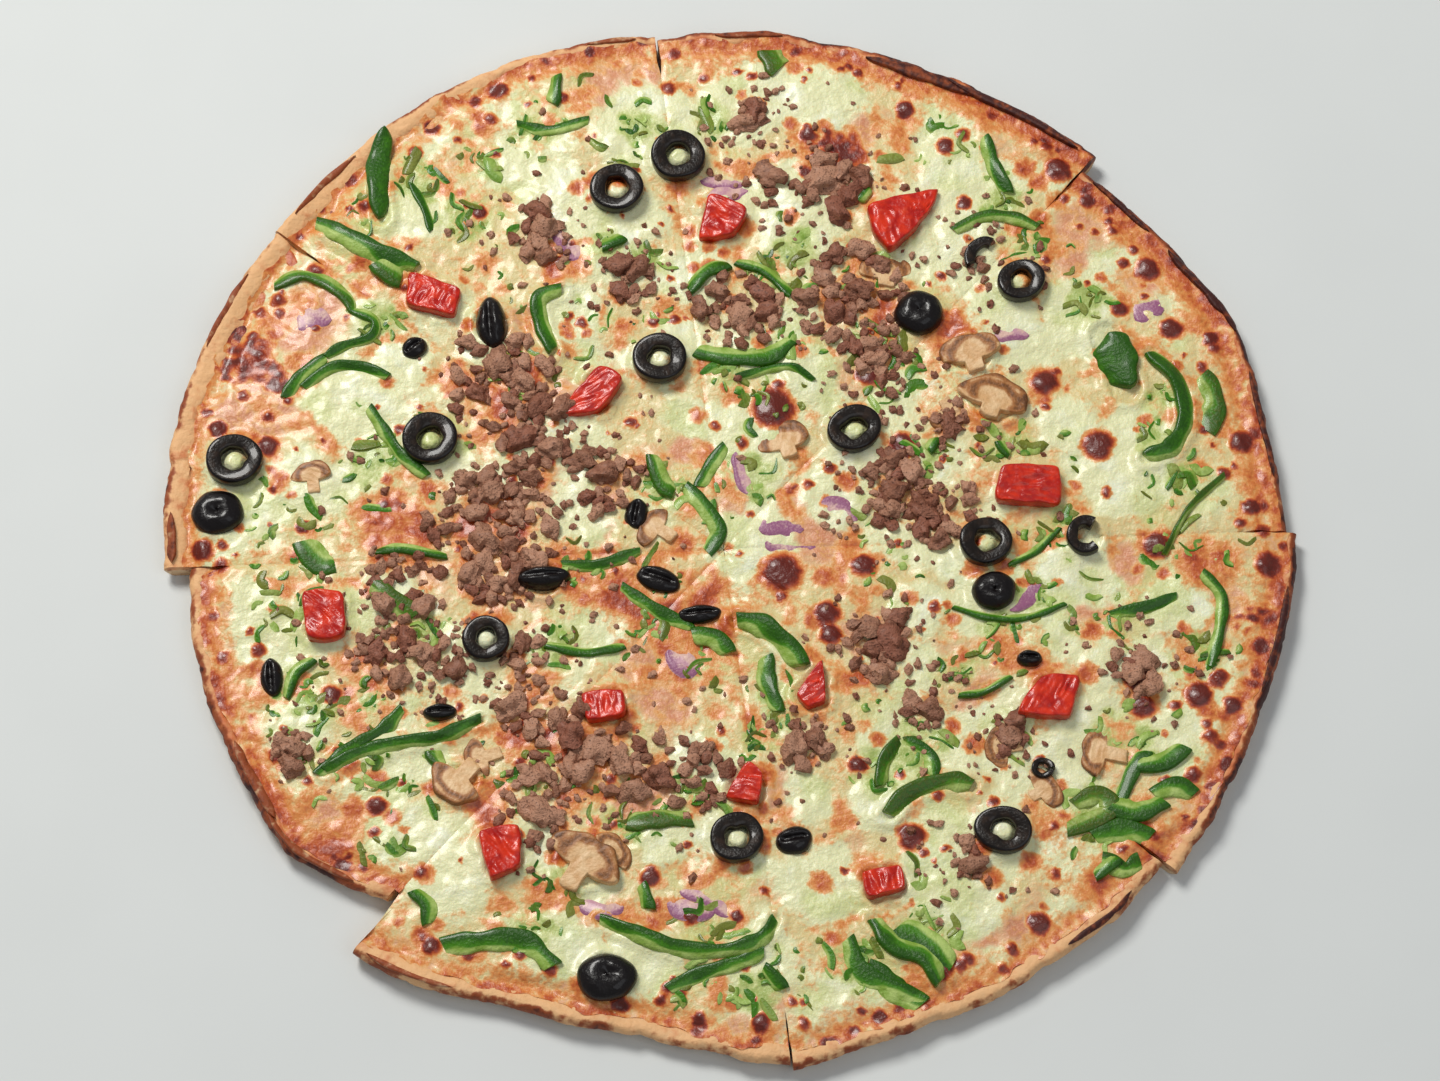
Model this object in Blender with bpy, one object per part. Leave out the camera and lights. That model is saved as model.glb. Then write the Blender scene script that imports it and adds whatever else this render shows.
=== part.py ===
"""A thin-crust pizza of about 305 mm, cut by four straight cuts into eight slices that still lie together.

Every slice is a crust wedge with a low, ragged lip and, 0.3 mm above it, the cheese that runs through to
the cuts. Olive, tomato, green pepper and mushroom pieces lie on the cheese as solids of their own. Crumbled
beef, thin strips and small scraps are fused to the cheese. Lengths are in millimetres, and MM turns them
into metres. The origin is under the middle of the pizza, on the surface that it lies on, with +Z up.
"""

import math
import random
from itertools import combinations

import bpy
from mathutils import Matrix, Vector
from mathutils.bvhtree import BVHTree

MM = 0.001
GAP = 0.3  # between pieces that touch

CRUST_BASE = 4.0  # thickness of the dough under the cheese
LIP_HEIGHT = 6.4  # height of the baked lip, before its bumps
LIP_BUMP = 0.7
CHEESE_TOP = 7.0  # mean height of the melted surface
EDGE_CHEESE = 0.9  # thickness of the cheese where it ends on the lip
SLICE_SLIDE = 0.77  # each slice has moved out along its middle, which opens the cuts to 0.6 mm
COLUMNS = 12  # steps across a slice
RESTING_GAP = 0.35  # from a topping to the cheese under it

# Where the flat part under the cheese ends, and the lip's outline from there out, down and under:
# (distance in from the rim, height), the height growing with the rim's bumps by the third number.
FLAT_TO = 13.0
LIP = (
    (8.0, 4.9, 0.3), (4.0, LIP_HEIGHT, 1.0), (1.2, 6.6, 1.0),
    (0.0, 4.4, 0.4), (1.4, 1.1, 0.0), (2.5, 0.0, 0.0),
)
CHEESE_ROWS = (0.14, 0.29, 0.44, 0.59, 0.74, 0.88)  # of the way from the tip to the flat part's end

# Slice number: the angles of its two cuts, and the reach from the crossing of the cuts to the rim, at even
# steps from the first cut to the second. The cut between slices 5 and 6 has opened towards the rim.
SLICES = {
    1: (2.0, 48.7, (151.5, 152.0, 154.7, 152.0, 150.6)),
    2: (48.7, 97.0, (157.0, 155.6, 155.4, 157.2, 155.6)),
    3: (97.0, 142.6, (156.5, 158.4, 158.6, 157.5, 155.8)),
    4: (142.6, 182.0, (155.3, 155.1, 153.7, 152.0, 150.5)),
    5: (182.0, 228.2, (144.0, 143.8, 142.6, 143.0, 132.5)),
    6: (229.2, 277.0, (149.0, 145.0, 139.0, 138.0, 137.0, 140.0, 144.0)),
    7: (277.0, 322.6, (145.5, 143.0, 142.5, 144.0, 144.0, 145.8, 145.0)),
    8: (322.6, 362.0, (149.0, 149.9, 149.6, 151.7, 154.5)),
}

# Olive slices: kind, x, y, half length, half width, turn in degrees. A ring is cut across the olive, a cap is
# its end, an edge is a ring on its side and an arc is a broken ring.
OLIVES = (
    ("ring", -31, 100, 7.5, 7.2, 0),
    ("ring", -14, 110, 7.6, 7.3, 0),
    ("edge", -65, 60, 7.6, 4.2, 95),
    ("ring", -19, 49, 7.6, 7.2, 0),
    ("cap", 52, 63, 6.6, 6.3, 0),
    ("ring", 80, 72, 6.6, 6.0, 20),
    ("ring", -81, 25, 7.6, 7.3, 0),
    ("ring", -134, 19, 7.7, 7.3, 0),
    ("cap", -138, 4, 7.2, 6.2, 10),
    ("ring", 34, 28, 7.5, 6.4, 25),
    ("edge", -50, -15, 7.2, 3.4, 5),
    ("ring", -65, -33, 6.4, 6.2, 0),
    ("ring", 69, -5, 7.2, 6.8, 0),
    ("cap", 71, -19, 6.0, 5.4, 15),
    ("arc", 96, -3, 5.6, 5.2, 60),
    ("ring", 2, -89, 7.2, 6.8, 30),
    ("ring", 72, -87, 7.7, 6.2, -10),
    ("cap", -32, -127, 7.8, 6.6, 0),
)
OLIVE_HOLE = 0.44  # of the ring's half length
OLIVE_HEIGHT = {"ring": 3.8, "cap": 4.6, "edge": 5.0, "arc": 3.6}

# Tomato pieces: their corners, going round, and their height.
TOMATOES = (
    (((-6, 100), (6, 94), (2, 86), (-9, 84)), 4.6),
    (((36, 95), (60, 102), (52, 88), (43, 79)), 4.4),
    (((-88, 76), (-73, 70), (-75, 61), (-89, 65)), 4.0),
    (((-35, 48), (-28, 43), (-35, 33), (-48, 32)), 4.2),
    (((73, 17), (90, 17), (90, 5), (71, 6)), 4.6),
    (((-115, -19), (-103, -19), (-102, -33), (-113, -34)), 4.8),
    (((-40, -48), (-28, -47), (-27, -55), (-38, -57)), 4.0),
    (((83, -43), (94, -43), (91, -56), (75, -55)), 4.6),
    (((17, -49), (25, -38), (26, -51), (21, -53)), 3.8),
    (((5, -67), (9, -71), (8, -80), (-2, -78)), 4.2),
    (((-67, -87), (-55, -85), (-54, -97), (-63, -102)), 5.0),
    (((34, -98), (45, -96), (47, -103), (36, -106)), 4.0),
)

# Green pepper strips: width, height, and points along the middle.
PEPPERS = (
    (6.6, 3.4, ((-95, 119), (-97, 110), (-97, 101), (-96, 92))),
    (5.6, 3.0, ((-114, 91), (-104, 85), (-95, 80), (-86, 77))),
    (4.8, 3.2, ((-46, 70), (-52, 67), (-51, 59), (-48, 52))),
    (6.4, 3.8, ((2, -27), (9, -29), (15, -34), (19, -40))),
    (3.8, 3.0, ((-66, -55), (-76, -60), (-87, -62), (-98, -65), (-107, -70))),
    (10.5, 3.6, ((103, 56), (106, 49), (108, 41))),
    (5.2, 3.6, ((115, 51), (122, 43), (124, 32), (120, 23), (113, 20))),
    (4.3, 3.2, ((-34, -111), (-25, -115), (-14, -119), (-2, -120), (8, -117), (12, -111))),
    (5.8, 3.2, ((38, -111), (43, -118), (51, -121), (55, -128))),
    (5.6, 3.0, ((42, -82), (48, -76), (57, -73), (64, -74))),
)

# Mushroom slices: x, y, half length of the cap, stem length, turn in degrees.
MUSHROOMS = (
    (66, 51, 8.5, 6.0, 15),
    (72, 37, 9.5, 5.0, -20),
    (-72, -73, 8.0, 7.0, 140),
    (-38, -95, 10.0, 9.0, -35),
)
MUSHROOM_HEIGHT = 3.0

# Crumbled beef: x, y, how far the heap spreads and how many lumps it has.
BEEF = (
    (-62, 43, 12, 7), (-53, 28, 8, 4), (-64, 0, 14, 8), (-61, -13, 8, 3), (-87, -17, 8, 3), (3, 65, 9, 4),
    (33, 68, 12, 7), (28, 101, 8, 3), (-34, 14, 8, 3), (46, 9, 9, 4), (59, 3, 8, 3), (-37, -64, 11, 5),
    (-13, -72, 10, 4), (-51, -81, 8, 3), (41, -34, 8, 4), (-53, -49, 7, 2), (-52, 88, 7, 2), (-26, 73, 5, 2),
    (6, 124, 3, 1), (11, 104, 3, 1), (-54, -37, 4, 1), (-92, -37, 6, 2), (-77, -38, 4, 1), (20, -61, 5, 2),
    (74, -60, 4, 1), (51, -50, 4, 1), (70, 80, 4, 1), (-116, -63, 4, 2), (42, 47, 6, 2), (61, 32, 5, 1),
    (108, -41, 5, 2), (-60, 12, 7, 3), (46, 18, 5, 2), (62, -95, 4, 1),
)
LUMP_RADIUS = (2.3, 3.6)
LUMP_RISE = 0.44  # of its radius, how far a lump's middle lies above the cheese

# Thin strips and scraps fused to the cheese: width, height, and points along the middle.
SCRAPS = (
    (3.8, 2.0, ((-122, 73), (-114, 75), (-106, 70), (-103, 63))),
    (3.0, 1.8, ((-97, 60), (-103, 54), (-110, 50), (-117, 44))),
    (4.2, 2.0, ((-10, 71), (-5, 76), (4, 79))),
    (5.0, 2.0, ((-8, 57), (0, 56), (9, 53))),
    (4.6, 2.2, ((-21, 20), (-17, 12), (-9, 9), (-4, 0))),
    (3.4, 1.8, ((-97, 36), (-93, 29), (-91, 24))),
    (6.0, 2.0, ((131, 42), (132, 35), (130, 28))),
    (3.8, 1.8, ((71, 114), (73, 107), (77, 100))),
    (3.5, 1.8, ((66, 90), (74, 92), (83, 89))),
    (5.0, 2.0, ((-27, -84), (-19, -83), (-12, -83))),
    (5.5, 2.0, ((-72, -117), (-62, -116), (-54, -118))),
    (5.2, 2.2, ((92, -80), (98, -76), (104, -80))),
    (5.4, 2.0, ((107, -72), (113, -70), (119, -65))),
    (3.6, 1.8, ((128, -16), (131, -24), (130, -33))),
    (7.0, 2.0, ((-113, -6), (-108, -11))),
    (4.0, 1.8, ((46, -62), (52, -66), (53, -70))),
    (6.0, 2.2, ((-24, -12), (-15, -17), (-7, -24))),
    (6.0, 2.4, ((14, -88), (20, -91))),
    (5.0, 2.2, ((-123, -40), (-121, -47))),
    (6.0, 2.2, ((-22, 2), (-15, 4))),
    (6.0, 1.8, ((10, 24), (19, 27))),
    (7.0, 2.0, ((-114, 18), (-112, 13))),
    (5.0, 1.6, ((-14, -108), (-6, -108))),
    (5.0, 1.6, ((-3, 102), (4, 103))),
)

COLOURS = {
    "baked crust": ("#C98F58", 0.75),
    "melted cheese": ("#E3DDB4", 0.45),
    "black olive": ("#211B18", 0.25),
    "tomato": ("#C62A1A", 0.3),
    "green pepper": ("#3F7F28", 0.35),
    "mushroom": ("#C7A17A", 0.55),
}


def clear_scene():
    for obj in list(bpy.data.objects):
        bpy.data.objects.remove(obj)


def linear(channel):
    return channel / 12.92 if channel <= 0.04045 else ((channel + 0.055) / 1.055) ** 2.4


def material(name):
    """The named Principled material, made the first time that it is asked for."""
    found = bpy.data.materials.get(name)
    if found:
        return found
    colour, roughness = COLOURS[name]
    made = bpy.data.materials.new(name)
    made.use_nodes = True
    shader = made.node_tree.nodes["Principled BSDF"]
    channels = [linear(int(colour[i : i + 2], 16) / 255) for i in (1, 3, 5)]
    shader.inputs["Base Color"].default_value = (*channels, 1)
    shader.inputs["Roughness"].default_value = roughness
    return made


def solid(name, points, faces, finish, parent, smooth=False):
    """An object from points in millimetres, with its own origin under its middle."""
    middle = sum((Vector(p) for p in points), Vector()) / len(points)
    place = Vector((middle.x, middle.y, 0))
    mesh = bpy.data.meshes.new(name)
    mesh.from_pydata([(Vector(p) - place) * MM for p in points], [], faces)
    if smooth:
        mesh.shade_smooth()
        mesh.set_sharp_from_angle(angle=math.radians(50))
    mesh.materials.append(material(finish))
    obj = bpy.data.objects.new(name, mesh)
    obj.location = place * MM
    obj.parent = parent
    bpy.context.scene.collection.objects.link(obj)
    return obj


def along(values, share):
    """The value at this share of the way along evenly spaced values."""
    at = min(max(share, 0.0), 1.0) * (len(values) - 1)
    low = min(int(at), len(values) - 2)
    return values[low] + (values[low + 1] - values[low]) * (at - low)


def polar(radius, degrees):
    angle = math.radians(degrees)
    return Vector((radius * math.cos(angle), radius * math.sin(angle)))


def reach(number, share):
    """From the crossing of the cuts to the rim, with the small raggedness of torn, baked dough."""
    start, end, radii = SLICES[number]
    angle = start + (end - start) * share
    ragged = 0.35 * math.sin(angle * 0.9) + 0.3 * math.sin(angle * 1.73 + number)
    return along(radii, share) + ragged


def slid(number):
    start, end, _ = SLICES[number]
    return polar(SLICE_SLIDE, (start + end) / 2)


def crossing():
    """The point where the cuts cross, placed so that the middle of the pizza's box is the origin."""
    rim = []
    for number, (start, end, _) in SLICES.items():
        for column in range(COLUMNS + 1):
            share = column / COLUMNS
            rim.append(slid(number) + polar(reach(number, share), start + (end - start) * share))
    xs = [p.x for p in rim]
    ys = [p.y for p in rim]
    return -Vector(((min(xs) + max(xs)) / 2, (min(ys) + max(ys)) / 2))


CROSSING = crossing()


def rim_bump(x, y):
    return LIP_BUMP * (0.6 * math.sin(x / 7.0 + 1.0) + 0.4 * math.sin(y / 5.5 + x / 13.0))


def relief(x, y):
    """The slow rise and fall of melted cheese."""
    return 0.3 * math.sin(x / 9.5 + 1.3 * math.sin(y / 21)) + 0.22 * math.sin(y / 9.0 + x / 24 + 2.0)


def cheese_top(x, y):
    return CHEESE_TOP + relief(x, y)


def ring_of(number, distance_from_rim):
    """Points across a slice, this far in from its rim."""
    start, end, _ = SLICES[number]
    points = []
    for column in range(COLUMNS + 1):
        share = column / COLUMNS
        out = polar(reach(number, share) - distance_from_rim, start + (end - start) * share)
        points.append(CROSSING + slid(number) + out)
    return points


def row_of(number, share_of_flat):
    """Points across a slice, this share of the way from its tip to the end of the flat part."""
    tip = CROSSING + slid(number)
    return [tip + (p - tip) * share_of_flat for p in ring_of(number, FLAT_TO)]


class Shell:
    """Gathers points and faces. A chain is a list of point numbers."""

    def __init__(self):
        self.points = []
        self.faces = []

    def add(self, x, y, z):
        self.points.append((x, y, z))
        return len(self.points) - 1

    def chain(self, places, heights):
        return [self.add(p.x, p.y, z) for p, z in zip(places, heights)]

    def strip(self, first, second):
        """Triangles between two chains of one length, facing up where the second lies further out."""
        for a, b, c, d in zip(first, first[1:], second[1:], second):
            self.faces += [(a, d, c), (a, c, b)]

    def fan(self, centre, chain):
        for a, b in zip(chain, chain[1:]):
            self.faces.append((centre, a, b))

    def reversed_fan(self, centre, chain):
        for a, b in zip(chain, chain[1:]):
            self.faces.append((centre, b, a))

    def wall(self, lower, upper, outward_first):
        """A flat wall between two chains that start at the tip, stepping along whichever is behind."""
        start = Vector(self.points[lower[0]]).xy

        def distance(number):
            return (Vector(self.points[number]).xy - start).length

        i = j = 0
        while i < len(lower) - 1 or j < len(upper) - 1:
            step_lower = j == len(upper) - 1 or (
                i < len(lower) - 1 and distance(lower[i + 1]) <= distance(upper[j + 1])
            )
            if step_lower:
                face = (lower[i], lower[i + 1], upper[j])
                i += 1
            else:
                face = (lower[i], upper[j + 1], upper[j])
                j += 1
            self.faces.append(face if outward_first else face[::-1])


def crust_slice(number, parent):
    shell = Shell()
    tip = CROSSING + slid(number)
    top_tip = shell.add(tip.x, tip.y, CRUST_BASE)
    bottom_tip = shell.add(tip.x, tip.y, 0)
    flat_end = ring_of(number, FLAT_TO)
    rings = [shell.chain(flat_end, [CRUST_BASE] * len(flat_end))]
    for inward, height, bumps in LIP:
        places = ring_of(number, inward)
        rings.append(shell.chain(places, [height + bumps * rim_bump(p.x, p.y) for p in places]))
    shell.fan(top_tip, rings[0])
    for inner, outer in zip(rings, rings[1:]):
        shell.strip(inner, outer)
    for side, first_cut in ((0, True), (-1, False)):
        foot = shell.add(flat_end[side].x, flat_end[side].y, 0)
        outline = [bottom_tip, top_tip, *(ring[side] for ring in rings)]
        if first_cut:
            shell.reversed_fan(foot, outline)
            first_foot = foot
        else:
            shell.fan(foot, outline)
            last_foot = foot
    middle = tip + (flat_end[COLUMNS // 2] - tip) * 0.6
    under = shell.add(middle.x, middle.y, 0)
    shell.reversed_fan(under, [bottom_tip, first_foot, *rings[-1], last_foot, bottom_tip])
    return solid(f"crust_slice_{number}", shell.points, shell.faces, "baked crust", parent)


def cheese_slice(number, parent):
    shell = Shell()
    tip = CROSSING + slid(number)
    floor = CRUST_BASE + GAP
    low_tip = shell.add(tip.x, tip.y, floor)
    high_tip = shell.add(tip.x, tip.y, cheese_top(tip.x, tip.y))
    flat_end = ring_of(number, FLAT_TO)
    low = [shell.chain(flat_end, [floor] * len(flat_end))]
    high = []
    for share in CHEESE_ROWS + (1.0,):
        places = row_of(number, share)
        high.append(shell.chain(places, [cheese_top(p.x, p.y) for p in places]))
    for inward, height, bumps in LIP[:2]:
        places = ring_of(number, inward)
        under = [height + bumps * rim_bump(p.x, p.y) + GAP for p in places]
        low.append(shell.chain(places, under))
        if inward == LIP[1][0]:
            over = [z + EDGE_CHEESE for z in under]
        else:
            over = [max(cheese_top(p.x, p.y), z + EDGE_CHEESE) for p, z in zip(places, under)]
        high.append(shell.chain(places, over))
    shell.fan(high_tip, high[0])
    for inner, outer in zip(high, high[1:]):
        shell.strip(inner, outer)
    shell.strip(high[-1], low[-1])
    for inner, outer in zip(low, low[1:]):
        shell.strip(outer, inner)
    shell.reversed_fan(low_tip, low[0])
    for side, first_cut in ((0, True), (-1, False)):
        lower = [low_tip, *(ring[side] for ring in low)]
        upper = [high_tip, *(ring[side] for ring in high)]
        shell.wall(lower, upper, first_cut)
    return solid(f"cheese_slice_{number}", shell.points, shell.faces, "melted cheese", parent)


def inside_slice(x, y, margin):
    """The slice that holds this point at least margin from its cuts and its lip, or None."""
    from_crossing = Vector((x, y)) - CROSSING
    for number, (start, end, _) in SLICES.items():
        out = from_crossing - slid(number)
        angle = math.degrees(math.atan2(out.y, out.x)) % 360
        if angle < SLICES[1][0]:
            angle += 360
        if not start < angle < end:
            continue
        to_cut = min(angle - start, end - angle)
        share = (angle - start) / (end - start)
        from_cut = out.length * math.sin(math.radians(min(to_cut, 90)))
        if from_cut > margin and reach(number, share) - out.length > margin + LIP[1][0]:
            return number
    return None


def smooth_path(points, steps):
    """Points along a Catmull-Rom curve through the given ones."""
    ends = [Vector(p) for p in points]
    ends = [2 * ends[0] - ends[1], *ends, 2 * ends[-1] - ends[-2]]
    path = []
    for step in range(steps + 1):
        at = step / steps * (len(ends) - 3)
        low = min(int(at), len(ends) - 4)
        t = at - low
        a, b, c, d = ends[low : low + 4]
        cubic = (2 * a - 5 * b + 4 * c - d) * t**2 + (3 * b - a - 3 * c + d) * t**3
        path.append(0.5 * (2 * b + (c - a) * t + cubic))
    return path


def turned(x, y, degrees):
    c, s = math.cos(math.radians(degrees)), math.sin(math.radians(degrees))
    return x * c - y * s, x * s + y * c


def loft(loops, closed=False):
    """Points and faces from loops of equal length, capped at both ends unless they close on themselves."""
    points = [p for loop in loops for p in loop]
    size = len(loops[0])
    faces = []
    rows = len(loops)
    for row in range(rows if closed else rows - 1):
        below, above = row * size, (row + 1) % rows * size
        for i in range(size):
            j = (i + 1) % size
            faces += [(below + i, below + j, above + j), (below + i, above + j, above + i)]
    if not closed:
        last = (rows - 1) * size
        faces += [(0, i + 1, i) for i in range(1, size - 1)]
        faces += [(last, last + i, last + i + 1) for i in range(1, size - 1)]
    return points, faces


def ring_shape(x, y, long, wide, turn, height, sweep=360.0):
    """A ring with a rounded outside, or a broken one where sweep is under a full turn."""
    hole = OLIVE_HOLE * long
    section = ((hole, 0.0), (hole, 0.92), (hole + 0.4 * (long - hole), 1.0), (long, 0.55), (0.86 * long, 0.0))
    full = sweep == 360.0
    steps = 12 if full else 7
    loops = []
    for step in range(steps):
        angle = sweep * step / (steps if full else steps - 1)
        loop = []
        for radius, level in section:
            out = polar(radius, angle)
            dx, dy = turned(out.x, out.y * wide / long, turn)
            loop.append((x + dx, y + dy, level * height))
        loops.append(loop)
    return loft(loops, closed=full)


def dome_shape(x, y, long, wide, turn, height):
    """A cap, or a ring on its side when it is long and narrow."""
    sides = 10
    levels = ((0.82, 0.0), (1.0, 0.3), (0.86, 0.72), (0.45, 0.98))
    loops = []
    for share, level in levels:
        loop = []
        for i in range(sides):
            out = polar(share, 360 * i / sides)
            dx, dy = turned(out.x * long, out.y * wide, turn)
            loop.append((x + dx, y + dy, level * height))
        loops.append(loop)
    return loft(loops)


def slab_shape(corners, height):
    """A piece cut from a tomato: soft corners, full sides and a crowned top."""
    middle = sum((Vector(c) for c in corners), Vector((0, 0))) / len(corners)
    outline = []
    for i, corner in enumerate(corners):
        before, here, after = Vector(corners[i - 1]), Vector(corner), Vector(corners[(i + 1) % len(corners)])
        outline += [here.lerp(before, 0.2), here.lerp(after, 0.2)]
        outline.append(here.lerp(after, 0.5) + (here.lerp(after, 0.5) - middle) * 0.04)
    area = sum(a.cross(b) for a, b in zip(outline, outline[1:] + outline[:1]))
    if area < 0:
        outline.reverse()
    loops = []
    for share, level in ((0.86, 0.0), (1.0, 0.45), (0.84, 0.9), (0.4, 1.0)):
        loops.append([(*(middle + (p - middle) * share), level * height) for p in outline])
    return loft(loops)


def strip_shape(path, width, height, steps, taper=0.55):
    """A strip along a path: flat below, crowned above, narrower at its ends."""
    section = ((-0.5, 0.15), (-0.38, 0.85), (0.1, 1.0), (0.46, 0.75), (0.5, 0.0))
    route = smooth_path(path, steps)
    loops = []
    for i, p in enumerate(route):
        ahead = route[min(i + 1, steps)] - route[max(i - 1, 0)]
        across = Vector((ahead.y, -ahead.x)).normalized()
        share = i / steps
        full = taper + (1 - taper) * min(1.0, 4 * min(share, 1 - share))
        loop = []
        for offset, level in section:
            side = p + across * offset * width * full
            loop.append((side.x, side.y, level * height * (0.75 + 0.25 * full)))
        loops.append(loop)
    return loft(loops)


ARCH_RISE = 0.72  # height of a mushroom's arch, of half its cap's width


def mushroom_shape(x, y, cap, stem, turn):
    """A slice cut down through a mushroom: an arched cap over a stem that widens to its foot."""
    outline = []
    for a in range(0, 181, 30):
        outline.append((cap * math.cos(math.radians(a)), ARCH_RISE * cap * math.sin(math.radians(a))))
    outline += [(-0.55 * cap, -0.22 * cap), (-0.26 * cap, -0.1 * cap), (-0.3 * cap, -stem)]
    outline += [(0.3 * cap, -stem), (0.26 * cap, -0.1 * cap), (0.55 * cap, -0.22 * cap)]
    loops = []
    for share, level in ((0.92, 0.0), (1.0, 0.6), (0.9, 1.0)):
        loop = []
        for px, py in outline:
            dx, dy = turned(px * share, py * share, turn)
            loop.append((x + dx, y + dy, level * MUSHROOM_HEIGHT))
        loops.append(loop)
    points, faces = loft(loops)
    size = len(outline)
    walls = [face for face in faces if min(face) < 2 * size and max(face) >= size]
    return points, walls + mushroom_caps(size)


def mushroom_caps(size):
    """The flat faces of a mushroom slice, one fan on each side of its neck."""
    left_neck, right_neck = 8, size - 2
    cap_ring = [*range(right_neck, size), *range(0, left_neck + 1)]
    upper = [(cap_ring[0], a, b) for a, b in zip(cap_ring[1:], cap_ring[2:])]
    lower = [(left_neck, left_neck + 1, left_neck + 2), (left_neck, left_neck + 2, right_neck)]
    flat = upper + lower
    top = [tuple(i + 2 * size for i in face) for face in flat]
    return top + [face[::-1] for face in flat]


def toppings():
    """Name, finish, points with their height above the cheese, and faces of every loose topping."""
    made = []
    for i, (kind, x, y, long, wide, turn) in enumerate(OLIVES, 1):
        height = OLIVE_HEIGHT[kind]
        if kind == "ring":
            shape = ring_shape(x, y, long, wide, turn, height)
        elif kind == "arc":
            shape = ring_shape(x, y, long, wide, turn, height, sweep=250.0)
        else:
            shape = dome_shape(x, y, long, wide, turn, height)
        made.append((f"olive_{i:02d}", "black olive", *shape))
    for i, (corners, height) in enumerate(TOMATOES, 1):
        made.append((f"tomato_{i:02d}", "tomato", *slab_shape(corners, height)))
    for i, (width, height, path) in enumerate(PEPPERS, 1):
        steps = 2 * len(path) - 1
        made.append((f"pepper_{i:02d}", "green pepper", *strip_shape(path, width, height, steps)))
    for i, place in enumerate(MUSHROOMS, 1):
        made.append((f"mushroom_{i:02d}", "mushroom", *mushroom_shape(*place)))
    return made


BETWEEN = 1.0  # from a fused piece to the loose toppings
INSIDE_CUT = 0.8  # from a fused piece to the side of its slice


def clear_of(x, y, radius, taken):
    return all((Vector((x, y)) - p).length > radius + BETWEEN for p in taken)


def footprints(pieces):
    """Points spread over what the loose toppings cover: their corners and the points halfway between."""
    covered = []
    for _, _, points, faces in pieces:
        for face in faces:
            a, b, c = (Vector(points[i]).xy for i in face)
            covered += [a, (a + b) / 2, (a + c) / 2, (a + b + c) / 3]
    return covered


def beef_lumps(taken):
    """Each lump's slice, place, radius and height above the cheese, skipping what would touch a topping."""
    draw = random.Random(8)
    golden = math.radians(137.5)  # the turn from one lump to the next that spreads them most evenly
    found = []
    for x, y, spread, count in BEEF:
        for i in range(count):
            out = spread * math.sqrt((i + 0.3) / count)
            angle = golden * i + draw.uniform(-0.3, 0.3)
            px, py = x + out * math.cos(angle), y + out * math.sin(angle)
            radius = draw.uniform(*LUMP_RADIUS)
            number = inside_slice(px, py, radius + INSIDE_CUT)
            if number and clear_of(px, py, radius, taken):
                found.append((number, px, py, radius, draw.uniform(0.9, 1.25) * LUMP_RISE * radius))
    return found


OVER_EDGE = 2.1  # just over the twenty-sided shape's own edge of 2


def lump_shape(x, y, radius, rise, draw):
    """A rough twenty-sided lump."""
    t = (1 + math.sqrt(5)) / 2
    corners = [(s * 1.0, u * t, 0.0) for s in (-1, 1) for u in (-1, 1)]
    corners += [(0.0, s * 1.0, u * t) for s in (-1, 1) for u in (-1, 1)]
    corners += [(u * t, 0.0, s * 1.0) for s in (-1, 1) for u in (-1, 1)]
    spin = Matrix.Rotation(draw.uniform(0, math.tau), 3, Vector((0.3, 0.5, 0.8)).normalized())
    at = Vector((x, y, cheese_top(x, y) + rise))
    points = [at + spin @ Vector(c).normalized() * radius * draw.uniform(0.82, 1.12) for c in corners]
    faces = []
    for i, j, k in combinations(range(len(corners)), 3):
        a, b, c = (Vector(corners[n]) for n in (i, j, k))
        if max((a - b).length, (b - c).length, (c - a).length) < OVER_EDGE:
            outward = (b - a).cross(c - a).dot(a) > 0
            faces.append((i, j, k) if outward else (i, k, j))
    return points, faces


STRIP_SUNK = 1.2  # how deep a fused strip reaches into the cheese


def scrap_shape(width, height, path, taken):
    """The slice that a fused strip lies in, and its shape, cut short where it would leave the slice."""
    route = smooth_path(path, 6)
    margin = width / 2 + INSIDE_CUT
    kept = []
    for p in route:
        number = inside_slice(p.x, p.y, margin)
        clear = number and clear_of(p.x, p.y, width / 2, taken)
        if clear and (not kept or kept[0][0] == number):
            kept.append((number, p))
        elif kept:
            break
    if len(kept) < 3:
        return None
    path = [p for _, p in kept]
    points, faces = strip_shape(path, width, height + STRIP_SUNK, 3)
    seated = [(x, y, cheese_top(x, y) + z - STRIP_SUNK) for x, y, z in points]
    return kept[0][0], seated, faces


def fuse(cheese, shapes):
    """Joins the shapes to a slice's cheese by one union on a collection, and removes their objects."""
    helpers = bpy.data.collections.new(cheese.name + "_crumbs")
    bpy.context.scene.collection.children.link(helpers)
    for i, (points, faces) in enumerate(shapes):
        mesh = bpy.data.meshes.new("crumb")
        mesh.from_pydata([Vector(p) * MM for p in points], [], faces)
        helpers.objects.link(bpy.data.objects.new(f"crumb_{i}", mesh))
    union = cheese.modifiers.new("crumbs", "BOOLEAN")
    union.operation = "UNION"
    union.operand_type = "COLLECTION"
    union.collection = helpers
    graph = bpy.context.evaluated_depsgraph_get()
    joined = bpy.data.meshes.new_from_object(cheese.evaluated_get(graph))
    cheese.modifiers.remove(union)
    cheese.data = joined
    for helper in list(helpers.objects):
        bpy.data.objects.remove(helper)
    bpy.data.collections.remove(helpers)


def world_tree(obj):
    points = [obj.matrix_world @ v.co / MM for v in obj.data.vertices]
    return BVHTree.FromPolygons(points, [tuple(p.vertices) for p in obj.data.polygons])


FEEL = 1.5  # how far to each side of a point its rest is felt for
WELL_ABOVE = 50.0  # higher than anything on the pizza


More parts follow.
